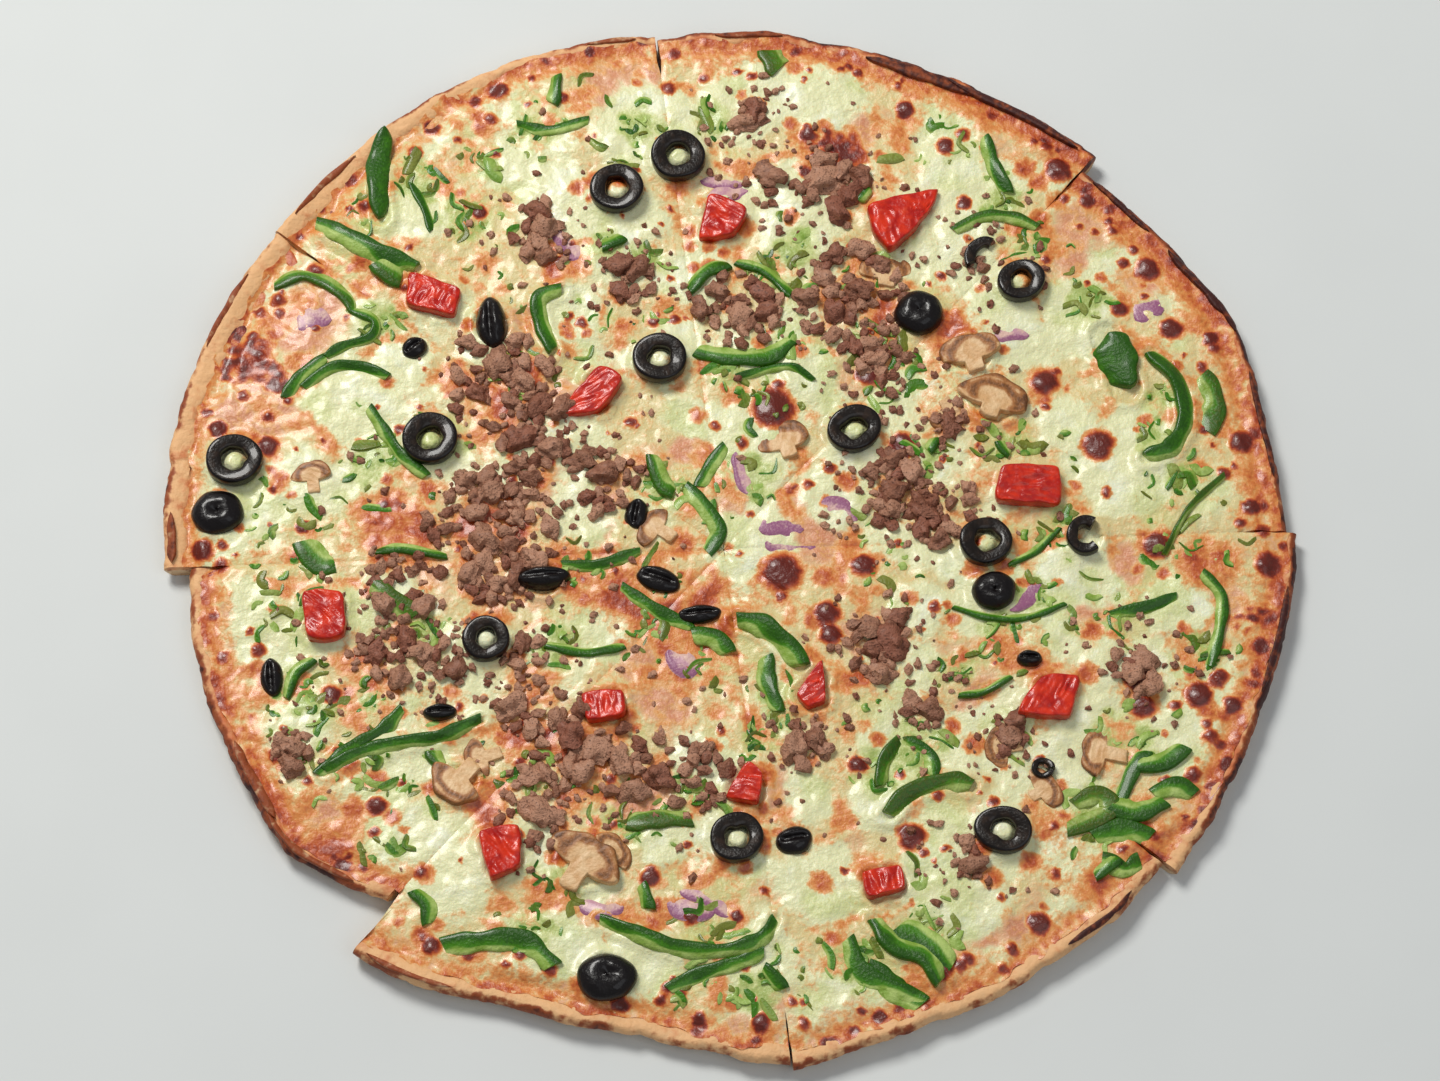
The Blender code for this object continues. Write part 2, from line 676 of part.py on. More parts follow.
def resting_height(x, y, trees):
    """The highest surface close to this point."""
    found = cheese_top(x, y)
    for dx, dy in ((0, 0), (FEEL, 0), (-FEEL, 0), (0, FEEL), (0, -FEEL)):
        for tree in trees:
            hit = tree.ray_cast(Vector((x + dx, y + dy, WELL_ABOVE)), Vector((0, 0, -1)))[0]
            if hit:
                found = max(found, hit.z)
    return found


def build():
    clear_scene()
    pizza = bpy.data.objects.new("pizza", None)
    bpy.context.scene.collection.objects.link(pizza)
    pieces = toppings()
    taken = footprints(pieces)
    fused = {number: [] for number in SLICES}
    draw = random.Random(21)
    for number, x, y, radius, rise in beef_lumps(taken):
        fused[number].append(lump_shape(x, y, radius, rise, draw))
    for scrap in SCRAPS:
        shape = scrap_shape(*scrap, taken)
        if shape:
            fused[shape[0]].append(shape[1:])
    trees = []
    for number in SLICES:
        crust = crust_slice(number, pizza)
        cheese = cheese_slice(number, pizza)
        bpy.context.view_layer.update()
        fuse(cheese, fused[number])
        trees += [world_tree(crust), world_tree(cheese)]
    for name, finish, points, faces in pieces:
        lying = [(x, y, resting_height(x, y, trees) + RESTING_GAP + z) for x, y, z in points]
        solid(name, lying, faces, finish, pizza, smooth=True)


build()
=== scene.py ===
# %% [markdown]
# # A sliced pizza
#
# The real thing is a thin round of dough, baked with sauce, grated cheese, olives, tomato, green pepper,
# mushroom, onion and crumbled beef, then cut by a wheel into eight wedges that nobody has pulled apart.
# The solids of its crust, its cheese and its larger toppings are loaded first, because they say where
# everything is. Each is then replaced by a finer piece of the same form, in the same place.

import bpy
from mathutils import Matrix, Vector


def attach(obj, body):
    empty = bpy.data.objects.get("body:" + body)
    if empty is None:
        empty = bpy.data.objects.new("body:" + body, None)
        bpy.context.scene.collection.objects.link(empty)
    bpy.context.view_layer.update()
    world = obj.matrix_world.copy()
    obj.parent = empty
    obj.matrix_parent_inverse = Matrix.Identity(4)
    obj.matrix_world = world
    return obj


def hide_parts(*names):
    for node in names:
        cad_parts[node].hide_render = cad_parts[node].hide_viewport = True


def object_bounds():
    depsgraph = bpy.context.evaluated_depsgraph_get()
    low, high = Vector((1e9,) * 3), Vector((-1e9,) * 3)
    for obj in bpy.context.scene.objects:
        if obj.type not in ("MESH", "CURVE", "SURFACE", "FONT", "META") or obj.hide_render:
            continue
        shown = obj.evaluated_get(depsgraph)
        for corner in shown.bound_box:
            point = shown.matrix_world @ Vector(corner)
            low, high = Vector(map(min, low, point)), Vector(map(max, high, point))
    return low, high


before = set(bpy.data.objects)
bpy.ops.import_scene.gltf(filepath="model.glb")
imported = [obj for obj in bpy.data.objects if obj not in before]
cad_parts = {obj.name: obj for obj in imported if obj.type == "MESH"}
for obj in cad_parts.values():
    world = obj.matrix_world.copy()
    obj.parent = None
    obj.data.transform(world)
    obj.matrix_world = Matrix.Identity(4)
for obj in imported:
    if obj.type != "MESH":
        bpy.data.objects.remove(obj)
SOLIDS_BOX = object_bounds()
print("the solids reach from", tuple(SOLIDS_BOX[0]), "to", tuple(SOLIDS_BOX[1]))

# %% Blender's modules and the unit
import math
import random

import bmesh
import bpy
import numpy as np
from mathutils import Vector, noise

MM = 0.001  # every length below is in millimetres, and a mesh is scaled by this when it is made

# %% [markdown]
# ## Colours and shader nodes
#
# A colour is easiest to write as it looks on a screen, in hex, but shaders count in linear light, so one
# function turns each colour. One more function adds any shader node, with its settings and links. With
# it, a material is started with a few cloudy patterns of known size, and coats of colour are laid on.

# %% Colours and nodes
def linear(written):
    """An sRGB hex colour as linear red, green, blue and alpha."""
    channels = [int(written[i : i + 2], 16) / 255 for i in (1, 3, 5)]
    return (*(c / 12.92 if c <= 0.04045 else ((c + 0.055) / 1.055) ** 2.4 for c in channels), 1.0)


def add(tree, kind, settings=(), inputs=(), stops=()):
    """Adds a node: settings are its own options, inputs its sockets' values or the sockets that feed them."""
    node = tree.nodes.new(kind)
    for option, value in dict(settings).items():
        setattr(node, option, value)
    for socket, value in dict(inputs).items():
        if isinstance(value, bpy.types.NodeSocket):
            tree.links.new(value, node.inputs[socket])
        else:
            node.inputs[socket].default_value = linear(value) if isinstance(value, str) else value
    for number, (place, colour) in enumerate(stops):
        elements = node.color_ramp.elements
        stop = elements[number] if number < 2 else elements.new(place)
        stop.position = place
        stop.color = linear(colour)
    return node


print("#808080 looks half bright, and in linear light it is", round(linear("#808080")[0], 3))


# %% A new material, and coats of colour on it
def begin(name, roughness, spots, **fixed):
    """A material, its tree and shader, and a cloudy pattern from 0 to 1 for each width in millimetres."""
    material = bpy.data.materials.new(name)
    material.use_nodes = True
    tree = material.node_tree
    shader = tree.nodes["Principled BSDF"]
    for socket, value in {"Roughness": roughness, **fixed}.items():
        shader.inputs[socket.replace("_", " ")].default_value = value
    here = add(tree, "ShaderNodeTexCoord").outputs["Object"]
    clouds = []
    for width in spots:
        sockets = {"Vector": here, "Scale": 1 / (width * MM), "Detail": 3.0}
        clouds.append(add(tree, "ShaderNodeTexNoise", inputs=sockets).outputs[0])
    print("material:", name, "with patterns", spots, "mm wide")
    return material, tree, shader, clouds


def weighed(tree, parts):
    """The sum of patterns, and of marks that the mesh carries by name, each times its weight."""
    total = 0.0
    for part, weight in parts:
        if isinstance(part, str):
            part = add(tree, "ShaderNodeAttribute", {"attribute_name": part}).outputs["Fac"]
        sockets = {0: part, 1: weight, 2: total}
        total = add(tree, "ShaderNodeMath", {"operation": "MULTIPLY_ADD"}, sockets).outputs[0]
    return total


def coat(tree, under, colour, parts, low, high, most=1.0):
    """A colour over the one under it, more and more as the weighed parts go from low to high."""
    sockets = {"Value": weighed(tree, parts), "From Min": low, "From Max": high, "To Max": most}
    share = add(tree, "ShaderNodeMapRange", {"interpolation_type": "SMOOTHSTEP"}, sockets).outputs[0]
    return add(tree, "ShaderNodeMix", {"data_type": "RGBA"}, {0: share, 6: under, 7: colour}).outputs[2]


def dress(tree, shader, colour, parts, depth):
    """Gives the shader its colour, and lets the weighed parts stand proud by so many millimetres."""
    sockets = {"Height": weighed(tree, parts), "Distance": depth * MM}
    tree.links.new(add(tree, "ShaderNodeBump", inputs=sockets).outputs[0], shader.inputs["Normal"])
    tree.links.new(colour, shader.inputs["Base Color"])


# %% [markdown]
# ## The wedges
#
# Four straight cuts make eight wedges. Each has slid out a little along its own middle, and its rim is
# torn and uneven, so its reach from the crossing of the cuts is written at a few even steps. These are
# the same values as the solids', so the finer pieces lie exactly where the solids do.

# %% Where the cuts and the rim are
SLICES = {  # the angles of the two cuts in degrees, and the reach to the rim at even steps between them
    1: (2.0, 48.7, (151.5, 152.0, 154.7, 152.0, 150.6)),
    2: (48.7, 97.0, (157.0, 155.6, 155.4, 157.2, 155.6)),
    3: (97.0, 142.6, (156.5, 158.4, 158.6, 157.5, 155.8)),
    4: (142.6, 182.0, (155.3, 155.1, 153.7, 152.0, 150.5)),
    5: (182.0, 228.2, (144.0, 143.8, 142.6, 143.0, 132.5)),
    6: (229.2, 277.0, (149.0, 145.0, 139.0, 138.0, 137.0, 140.0, 144.0)),
    7: (277.0, 322.6, (145.5, 143.0, 142.5, 144.0, 144.0, 145.8, 145.0)),
    8: (322.6, 362.0, (149.0, 149.9, 149.6, 151.7, 154.5)),
}
CUTS = (2.0, 48.7, 97.0, 142.6, 182.0, 228.7, 277.0, 322.6, 362.0)
SLIDE = 0.77  # how far each wedge has slid out
RIM_STEPS = 12  # the solids' steps across a wedge
INSIDE = 0.15  # how far the finer rim stays inside the solids'


def polar(radius, degrees):
    """The point at this radius and angle, or as many points as there are angles."""
    angle = np.radians(degrees)
    return np.stack([radius * np.cos(angle), radius * np.sin(angle)], axis=-1)


def rim_reach(number, share):
    """From the crossing to the rim, this share of the way from the wedge's first cut to its second."""
    start, end, radii = SLICES[number]
    steps = np.linspace(0, 1, RIM_STEPS + 1)
    angle = start + (end - start) * steps
    torn = 0.35 * np.sin(angle * 0.9) + 0.3 * np.sin(angle * 1.73 + number)
    known = np.interp(steps, np.linspace(0, 1, len(radii)), radii) + torn
    return np.interp(share, steps, known)


def slid(number):
    """How far and which way a wedge has slid out, along its own middle."""
    start, end, _ = SLICES[number]
    return polar(SLIDE, (start + end) / 2)


def rim_points(number):
    """The points of a wedge's rim, at the solids' steps."""
    start, end, _ = SLICES[number]
    share = np.linspace(0, 1, RIM_STEPS + 1)
    return slid(number) + polar(rim_reach(number, share), start + (end - start) * share)


ALL_RIM = np.vstack([rim_points(number) for number in SLICES])
CROSSING = -(ALL_RIM.min(axis=0) + ALL_RIM.max(axis=0)) / 2  # so that the middle of the box is the origin
print("the cuts cross at", CROSSING.round(2), "mm")


# %% Angles and distances on the pizza
def heading(x, y):
    """The angle of each point seen from the crossing, in the range that the wedges use."""
    angle = np.degrees(np.arctan2(y - CROSSING[1], x - CROSSING[0])) % 360
    return np.where(angle < SLICES[1][0], angle + 360, angle)


def from_rim(x, y):
    """The distance in from the rim of points anywhere on the pizza."""
    x, y = np.atleast_1d(x).astype(float), np.atleast_1d(y).astype(float)
    angle = heading(x, y)
    inward = np.zeros_like(x)
    for number, (start, end, _) in SLICES.items():
        here = (angle >= start) & (angle <= end + 1)
        share = np.clip((angle[here] - start) / (end - start), 0, 1)
        inward[here] = rim_reach(number, share) - np.hypot(x[here] - CROSSING[0], y[here] - CROSSING[1])
    return inward


def from_cut(x, y):
    """The distance of each point from the nearest cut."""
    off = np.min([np.abs(heading(x, y) - cut) for cut in CUTS], axis=0)
    return np.hypot(x - CROSSING[0], y - CROSSING[1]) * np.sin(np.radians(off))


# %% [markdown]
# ## Uneven by rule
#
# Nothing on a pizza is even, so nearly every number below is stirred by smooth noise. It is the same at
# every run, because it depends on the place alone, and the few true draws come from a seeded generator.

# %% Noise, slopes and curves
DRAW = random.Random(5)


def bumps(x, y, size, layer=0.0):
    """Smooth noise from about -1 to 1, whose bumps are this many millimetres wide."""
    return np.array([noise.noise((u, v, 7.3 * layer)) for u, v in zip(x / size, y / size)])


def rise(low, high, value):
    """0 up to low and 1 from high, with a smooth slope between. Low may be the larger one."""
    t = np.clip((value - low) / (high - low), 0, 1)
    return t * t * (3 - 2 * t)


def nearest(x, y, places):
    """How many of its own radii each point lies from the middle of the nearest round place."""
    found = np.full(np.shape(x), 9.0)
    for px, py, radius in places:
        found = np.minimum(found, np.hypot(x - px, y - py) / radius)
    return found


def curve(points, steps):
    """Points along a smooth curve that passes through all the given ones."""
    known = np.array(points, dtype=float)
    known = np.vstack([2 * known[0] - known[1], known, 2 * known[-1] - known[-2]])
    at = np.linspace(0, len(known) - 3, steps + 1)
    low = np.minimum(at.astype(int), len(known) - 4)
    t = (at - low)[:, None]
    a, b, c, d = (known[low + k] for k in range(4))
    cubic = (2 * a - 5 * b + 4 * c - d) * t**2 + (3 * b - a - 3 * c + d) * t**3
    return 0.5 * (2 * b + (c - a) * t + cubic)


print("noise at three neighbouring places:", bumps(np.array([0.0, 2.0, 4.0]), np.ones(3), 6).round(2))


# %% [markdown]
# ## What lies on the cheese
#
# The places, sizes and turns of the toppings were judged from the real pizza and rounded to whole
# millimetres. They come before the cheese, because melted cheese creeps up whatever stands in it, and
# stains round it.

# %% Olives, tomatoes, peppers and mushrooms
OLIVES = (  # kind, x, y, half length, half width, turn in degrees, as in the solids
    ("ring", -31, 100, 7.5, 7.2, 0), ("ring", -14, 110, 7.6, 7.3, 0), ("edge", -65, 60, 7.6, 4.2, 95),
    ("ring", -19, 49, 7.6, 7.2, 0), ("cap", 52, 63, 6.6, 6.3, 0), ("ring", 80, 72, 6.6, 6.0, 20),
    ("ring", -81, 25, 7.6, 7.3, 0), ("ring", -134, 19, 7.7, 7.3, 0), ("cap", -138, 4, 7.2, 6.2, 10),
    ("ring", 34, 28, 7.5, 6.4, 25), ("edge", -50, -15, 7.2, 3.4, 5), ("ring", -65, -33, 6.4, 6.2, 0),
    ("ring", 69, -5, 7.2, 6.8, 0), ("cap", 71, -19, 6.0, 5.4, 15), ("arc", 96, -3, 5.6, 5.2, 60),
    ("ring", 2, -89, 7.2, 6.8, 30), ("ring", 72, -87, 7.7, 6.2, -10), ("cap", -32, -127, 7.8, 6.6, 0),
)
OLIVE_HOLE = 0.44  # of the half length
OLIVE_HEIGHT = {"ring": 3.8, "cap": 4.6, "edge": 5.0, "arc": 3.6}
HOLES = [(x, y, long * OLIVE_HOLE + 0.4) for kind, x, y, long, _, _ in OLIVES if kind == "ring"]

TOMATOES = (  # corners, going round, and height
    (((-6, 100), (6, 94), (2, 86), (-9, 84)), 4.6), (((36, 95), (60, 102), (52, 88), (43, 79)), 4.4),
    (((-88, 76), (-73, 70), (-75, 61), (-89, 65)), 4.0),
    (((-35, 48), (-28, 43), (-35, 33), (-48, 32)), 4.2),
    (((73, 17), (90, 17), (90, 5), (71, 6)), 4.6),
    (((-115, -19), (-103, -19), (-102, -33), (-113, -34)), 4.8),
    (((-40, -48), (-28, -47), (-27, -55), (-38, -57)), 4.0),
    (((83, -43), (94, -43), (91, -56), (75, -55)), 4.6),
    (((17, -49), (25, -38), (26, -51), (21, -53)), 3.8), (((5, -67), (9, -71), (8, -80), (-2, -78)), 4.2),
    (((-67, -87), (-55, -85), (-54, -97), (-63, -102)), 5.0),
    (((34, -98), (45, -96), (47, -103), (36, -106)), 4.0),
)

PEPPERS = (  # the ten larger strips: width, height, and points along the middle
    (6.6, 3.4, ((-95, 119), (-97, 110), (-97, 101), (-96, 92))),
    (5.6, 3.0, ((-114, 91), (-104, 85), (-95, 80), (-86, 77))),
    (4.8, 3.2, ((-46, 70), (-52, 67), (-51, 59), (-48, 52))),
    (6.4, 3.8, ((2, -27), (9, -29), (15, -34), (19, -40))),
    (3.8, 3.0, ((-66, -55), (-76, -60), (-87, -62), (-98, -65), (-107, -70))),
    (10.5, 3.6, ((103, 56), (106, 49), (108, 41))),
    (5.2, 3.6, ((115, 51), (122, 43), (124, 32), (120, 23), (113, 20))),
    (4.3, 3.2, ((-34, -111), (-25, -115), (-14, -119), (-2, -120), (8, -117), (12, -111))),
    (5.8, 3.2, ((38, -111), (43, -118), (51, -121), (55, -128))),
    (5.6, 3.0, ((42, -82), (48, -76), (57, -73), (64, -74))),
)

MUSHROOMS = (  # x, y, half length of the cap, stem, turn
    (66, 51, 8.5, 6.0, 15), (72, 37, 9.5, 5.0, -20), (-72, -73, 8.0, 7.0, 140), (-38, -95, 10.0, 9.0, -35),
)
MUSHROOM_HEIGHT = 3.0
counts = [len(kind) for kind in (OLIVES, TOMATOES, PEPPERS, MUSHROOMS)]
print("olives, tomatoes, peppers and mushrooms:", counts)

# %% [markdown]
# ## Room between the toppings
#
# Cheese, crumbs and green bits all need to know where the larger toppings stand. Testing the true
# outlines would be slow, so each topping is covered by a few discs, and one function measures to the
# edge of the nearest disc.

# %% How far a place is from the nearest topping
TOMATO_CORNER = 4.2  # the radius of the disc that stands for each corner of a piece of tomato
STANDING = [(x, y, (long + wide) / 2) for _, x, y, long, wide, _ in OLIVES]
for corners, _ in TOMATOES:
    middle = np.mean(corners, axis=0)
    STANDING += [(*(middle + (np.array(corner) - middle) * 0.4), TOMATO_CORNER) for corner in corners]
for width, _, path in PEPPERS:
    STANDING += [(px, py, width / 2) for px, py in curve(path, 4 * len(path))]
STANDING += [(x, y, cap * 0.75) for x, y, cap, _, _ in MUSHROOMS]


def clearance(x, y):
    """Millimetres to the nearest topping's edge, and less than 0 under one."""
    gap = np.full(np.shape(x), 99.0)
    for px, py, radius in STANDING:
        gap = np.minimum(gap, np.hypot(x - px, y - py) - radius)
    return gap


print(len(STANDING), "discs stand for the toppings")

# %% [markdown]
# ## Browning, sauce and thick cheese
#
# In the oven the cheese blisters: small domes rise, and their tops burn dark red-brown with an orange
# ring. Where little cheese lies, the sauce shows pink and the cheese toasts, and where it lies thick it
# stays pale. The larger places are written down here, and the small ones between them are drawn.

# %% Blisters
BLISTERS = (  # x, y, radius
    (12, 35, 5.2), (14, -13, 5.0), (36, -11, 3.2), (26, -25, 3.2), (27, -31, 2.7), (38, 45, 3.2),
    (86, 43, 3.4),
    (100, 24, 3.8), (47, 24, 3.2), (115, -5, 3.5), (110, -44, 3.8), (110, -51, 3.0), (125, -48, 3.2),
    (48, -88, 3.2), (139, 25, 3.2), (-106, -48, 2.4), (-91, 122, 2.4), (121, 59, 2.7), (115, 77, 3.2),
    (-10, -110, 2.4), (-93, -79, 2.4), (-24, 148, 2.2), (-142, -7, 2.7), (145, -11, 3.2), (124, -85, 2.2),
    (81, -112, 2.7), (107, 65, 2.2), (-78, 138, 2.2), (-21, -99, 2.4), (55, -125, 2.7), (132, -68, 2.2),
    (34, -68, 2.2), (-69, 94, 1.9), (60, 114, 2.2), (49, 126, 2.2), (-39, 144, 1.6), (-64, 132, 2.7),
    (-83, 120, 2.2), (91, 107, 3.2), (99, 98, 2.2), (-78, -118, 2.2), (-139, 29, 2.2), (-125, 24, 2.7),
    (-28, -134, 1.9), (-102, -96, 2.2), (-8, -138, 1.9), (8, -139, 2.4), (26, -145, 2.7), (39, -137, 1.9),
    (101, -108, 1.9), (134, -51, 2.4), (142, -34, 2.2), (141, 6, 2.2), (132, 56, 1.9), (-115, 0, 1.6),
    (-93, 7, 1.4), (-116, -62, 1.4), (-46, 79, 1.4), (2, -110, 1.6), (65, 97, 1.8), (22, 118, 2.2),
)
CHARRED = (  # ragged patches near the rim that have burnt: x, y, radius
    (-131, 50, 9), (-136, 62, 6), (-124, 44, 5), (31, 112, 8), (24, 107, 6), (142, -27, 5), (-118, -101, 6),
)
RIM_BLISTERS, INNER_BLISTERS, TANNED = 130, 140, 230  # how many of each are drawn
TOPPED = 8  # the toppings and the tan spots stay this far in from the rim
SMALL_BLISTERS = []
while len(SMALL_BLISTERS) < RIM_BLISTERS:
    x, y = polar(DRAW.uniform(100, 156), DRAW.uniform(0, 360)) + CROSSING
    if 3 < from_rim(x, y)[0] < 17:
        SMALL_BLISTERS.append((x, y, DRAW.uniform(0.8, 2.1)))
while len(SMALL_BLISTERS) < RIM_BLISTERS + INNER_BLISTERS:
    x, y = polar(145 * math.sqrt(DRAW.random()), DRAW.uniform(0, 360)) + CROSSING
    if from_rim(x, y)[0] > 12:
        SMALL_BLISTERS.append((x, y, DRAW.uniform(0.5, 1.5)))
TAN_SPOTS = []
while len(TAN_SPOTS) < TANNED:
    x, y = polar(148 * math.sqrt(DRAW.random()), DRAW.uniform(0, 360)) + CROSSING
    if from_rim(x, y)[0] > TOPPED:
        TAN_SPOTS.append((x, y, DRAW.uniform(0.9, 3.0)))
print(len(BLISTERS), "blisters have places of their own, and", len(SMALL_BLISTERS), "small ones are drawn")

# %% Sauce, toasted and thick places
SAUCY = (  # x, y, radius, as in the three lists that follow
    (-117, 62, 14), (-130, 35, 15), (-40, 12, 14), (22, 0, 15), (-24, -37, 10), (-16, -48, 10),
    (16, -74, 9),
    (96, -20, 10), (-30, 135, 14), (-46, 35, 11), (-105, -85, 9), (-86, -123, 9), (-44, -134, 9),
    (8, -137, 10), (96, 86, 11), (115, 80, 14), (37, -31, 9), (66, -51, 9), (77, -68, 11), (-34, -107, 8),
    (65, -118, 9), (81, -115, 9), (-23, -76, 9), (-83, -11, 8), (-52, 62, 7), (105, -11, 8), (-11, 24, 7),
    (4, 8, 9), (-38, 0, 8), (98, 96, 9), (-127, 20, 8), (-36, -30, 8), (132, -22, 9), (34, 118, 8),
)
TOASTED = (
    (-88, -3, 14), (-29, -20, 14), (-10, -29, 14), (-21, -23, 13), (-45, -11, 11), (-94, 3, 11),
    (-45, -74, 10),
    (-60, -79, 11), (77, -34, 11), (-8, -96, 7), (129, -11, 11), (87, -88, 11), (110, -90, 10),
    (94, -99, 10),
    (-105, -90, 8), (-46, 80, 8), (63, 56, 11), (-2, -20, 9), (-53, -60, 9), (-77, -51, 9), (62, 40, 14),
    (-60, 40, 13), (-64, 0, 14), (34, 66, 12), (48, 8, 12), (-38, -64, 12), (44, -34, 9), (-66, 24, 9),
)
THICK = (
    (-30, 80, 11), (-25, 92, 10), (-47, 95, 13), (-22, 120, 18), (3, 126, 13), (28, 129, 13), (61, 107, 10),
    (74, 62, 13), (96, 65, 11), (108, 15, 14), (89, -11, 7), (120, -23, 10), (-69, -34, 9), (-50, -34, 7),
    (-81, -90, 14), (-73, -99, 14), (-44, -123, 16), (-23, -123, 13), (24, -101, 13), (55, -101, 11),
    (65, -107, 10), (-8, -68, 9), (-68, 53, 7), (-98, 62, 7), (-89, 47, 9), (-116, 15, 10), (-128, -23, 10),
    (-114, -57, 10), (33, 21, 10), (8, 29, 10), (33, 56, 7), (62, -11, 7), (51, -23, 9), (-18, -88, 9),
    (40, -79, 9), (45, -68, 7), (-13, 56, 7), (3, 50, 7), (20, 88, 14), (-10, 75, 12), (30, 10, 12),
    (-97, 40, 8), (92, 30, 10), (66, 88, 10), (100, -40, 7), (22, 46, 9), (-92, -20, 8), (90, 118, 8),
)
HERBED = (
    (-25, 121, 7), (-85, 104, 9), (-71, 92, 9), (-35, 83, 6), (-39, 138, 7), (-52, 120, 8), (-3, 123, 5),
    (75, 98, 6), (85, 86, 6), (99, 68, 6), (19, 83, 8), (-24, 80, 5), (-57, 41, 6), (-78, 26, 9),
    (-97, 18, 7),
    (-45, -11, 6), (38, 56, 6), (46, 50, 5), (54, 21, 5), (76, 26, 6), (114, 24, 6), (124, 15, 6),
    (102, -26, 6), (72, -29, 6), (-45, -34, 6), (-24, -34, 5), (-5, -37, 8), (13, -51, 7), (8, -60, 6),
    (-13, -76, 7), (40, -68, 9), (50, -62, 9), (61, -40, 5), (-114, -48, 7), (-100, -51, 8), (-82, -29, 7),
    (-29, -85, 7), (-50, -71, 6), (-44, -101, 6), (-8, -115, 7), (-52, -115, 8), (8, -131, 7),
    (34, -123, 8),
    (50, -118, 9), (97, -82, 9), (106, -60, 9), (128, -34, 6), (3, 15, 9), (-14, 10, 8), (-96, 62, 6),
    (-100, 95, 7), (-70, 110, 7), (8, 76, 6), (0, 45, 6), (90, 2, 5), (117, 36, 7), (80, -20, 6),
)
OVEN = (  # angle, and how dark the oven left the rim there, from 0 to 1
    (2, 0.9), (30, 1.0), (60, 1.0), (80, 0.9), (97, 0.6), (115, 0.35), (140, 0.35), (170, 0.45),
    (182, 0.55),
    (190, 0.5), (200, 0.95), (220, 0.9), (228, 0.6), (235, 0.3), (262, 0.3), (300, 0.3), (320, 0.45),
    (335, 0.8),
    (362, 0.9),
)

print(len(SAUCY), "saucy places,", len(TOASTED), "toasted,", len(THICK), "thick,", len(HERBED), "green")

# %% Bits of green in the cheese
STREWN_PLACES, BITS_PER_PLACE = 36, 11
STREWN = []  # places beside the green ones above, so that the bits don't end where those do
for _ in range(STREWN_PLACES):
    STREWN.append((*polar(135 * math.sqrt(DRAW.random()), DRAW.uniform(0, 360)), 11))
GREEN_BITS = []  # x, y, half length, heading, bend and width
for px, py, spread in (*HERBED, *STREWN):
    for _ in range(BITS_PER_PLACE):
        x, y = px + DRAW.gauss(0, spread * 0.6), py + DRAW.gauss(0, spread * 0.6)
        half = DRAW.uniform(0.6, 1.8) if DRAW.random() < 0.6 else DRAW.uniform(1.8, 4.2)
        shape = half, DRAW.uniform(0, math.tau), DRAW.uniform(-0.8, 0.8), DRAW.uniform(0.9, 1.6 + 0.5 * half)
        if clearance(x, y) > 0.3 and from_rim(x, y)[0] > TOPPED:
            GREEN_BITS.append((x, y, *shape))
HALOS = [(x, y, half * 0.6 + 1.2) for x, y, half, *_ in GREEN_BITS]
print(len(GREEN_BITS), "green bits")
